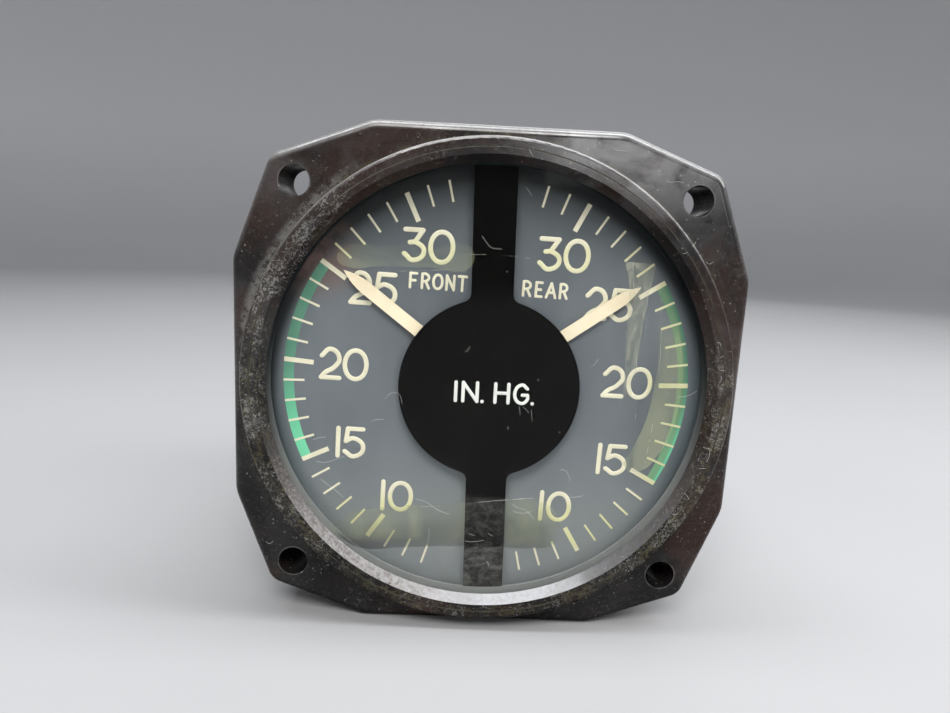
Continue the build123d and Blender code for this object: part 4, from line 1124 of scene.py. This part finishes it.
# floor, lamps and world
studio = {
    "floorZ": -41.3, "flatReach": 1000, "sweep": 450, "wallTop": 1500, "wallFrom": (-40.0, 250.0),
    "floorLow": (0.39, 0.39, 0.395), "floorHigh": (0.43, 0.43, 0.435), "wall": (0.56, 0.56, 0.57),
    "world": (0.34, 0.355, 0.385),
}
lamps = {
    "keyLamp": {"place": (-0.06, -0.56, 0.66), "size": (0.5, 0.34), "watts": 5.4, "aim": (0, 0, 0),
                "tint": (1.0, 0.99, 0.97)},
    "stripLamp": {"place": (0.1, -0.01, 0.62), "size": (1.0, 0.2), "watts": 4.6, "aim": (0.1, 0, 0),
                  "tint": (0.95, 0.97, 1.0)},
    "rightLamp": {"place": (0.68, -0.06, 0.44), "size": (0.3, 0.34), "watts": 2.9, "aim": (0, 0, 0)},
    "sideLamp": {"place": (0.24, -0.62, 0.17), "size": (0.34, 0.16), "watts": 0.5, "aim": (0.02, 0, 0.02)},
    "backLamp": {"place": (0.25, 0.7, 0.5), "size": (0.7, 0.7), "watts": 1.4, "aim": (0, 0.04, 0)},
}


def addLamp(name, look):
    data = bpy.data.lights.new(name, "AREA")
    data.shape = "RECTANGLE"
    data.size, data.size_y = look["size"]
    data.energy = look["watts"]
    data.color = look.get("tint", (1.0, 1.0, 1.0))
    lamp = bpy.data.objects.new(name, data)
    lamp.location = look["place"]
    lamp.visible_transmission = False  # its light already comes through the glass as a shadow ray
    way = Vector(look["aim"]) - Vector(look["place"])
    lamp.rotation_euler = way.to_track_quat("-Z", "Y").to_euler()
    bpy.context.scene.collection.objects.link(lamp)


def addFloor(look):
    # a round paper floor that sweeps up into a wall, the same from every side
    shell = bmesh.new()
    floorZ, flat, sweep = look["floorZ"], look["flatReach"], look["sweep"]
    turns = [math.radians(a) for a in range(0, 91, 10)]
    profile = [(0, floorZ), (flat / 2, floorZ)]
    profile += [(flat + sweep * math.sin(a), floorZ + sweep * (1 - math.cos(a))) for a in turns]
    profile += [(flat + sweep, look["wallTop"])]
    line = [shell.verts.new((r * mm, 0, z * mm)) for r, z in profile]
    edges = [shell.edges.new(pair) for pair in zip(line, line[1:])]
    bmesh.ops.spin(shell, geom=line + edges, cent=(0, 0, 0), axis=(0, 0, 1), angle=2 * math.pi, steps=72,
                   use_merge=True)
    bmesh.ops.remove_doubles(shell, verts=shell.verts, dist=1e-6)
    mesh = bpy.data.meshes.new("studioFloor")
    shell.to_mesh(mesh)
    shell.free()
    for face in mesh.polygons:
        face.use_smooth = True
    finish, tree, skin, spot = newFinish("floorPaper")
    cloud = noise(tree, spot, 6.0, 3.0, 0.5)
    x, y, z = axes(tree, spot)
    paper = blendColour(tree, cloud, look["floorLow"], look["floorHigh"])
    paper = blendColour(tree, zone(tree, z, *look["wallFrom"]), paper, look["wall"])
    tree.links.new(paper, skin.inputs["Base Color"])
    fine = noise(tree, spot, 900.0, 2.0, 0.5)
    tree.links.new(ramp(tree, fine, 0.3, 0.7, 0.8, 0.95), skin.inputs["Roughness"])
    skin.inputs["Specular IOR Level"].default_value = 0.1
    mesh.materials.append(finish)
    floor = bpy.data.objects.new("studioFloor", mesh)
    bpy.context.scene.collection.objects.link(floor)


addFloor(studio)
for lampName, lampLook in lamps.items():
    addLamp(lampName, lampLook)
world = bpy.data.worlds.new("studioWorld")
world.use_nodes = True
world.node_tree.nodes["Background"].inputs["Color"].default_value = (*studio["world"], 1.0)
world.node_tree.nodes["Background"].inputs["Strength"].default_value = 1.0
world.cycles_visibility.transmission = False  # as for the lamps
bpy.context.scene.world = world
bpy.context.scene.view_settings.view_transform = "Standard"
print("studio lit")

bpy.context.view_layer.update()
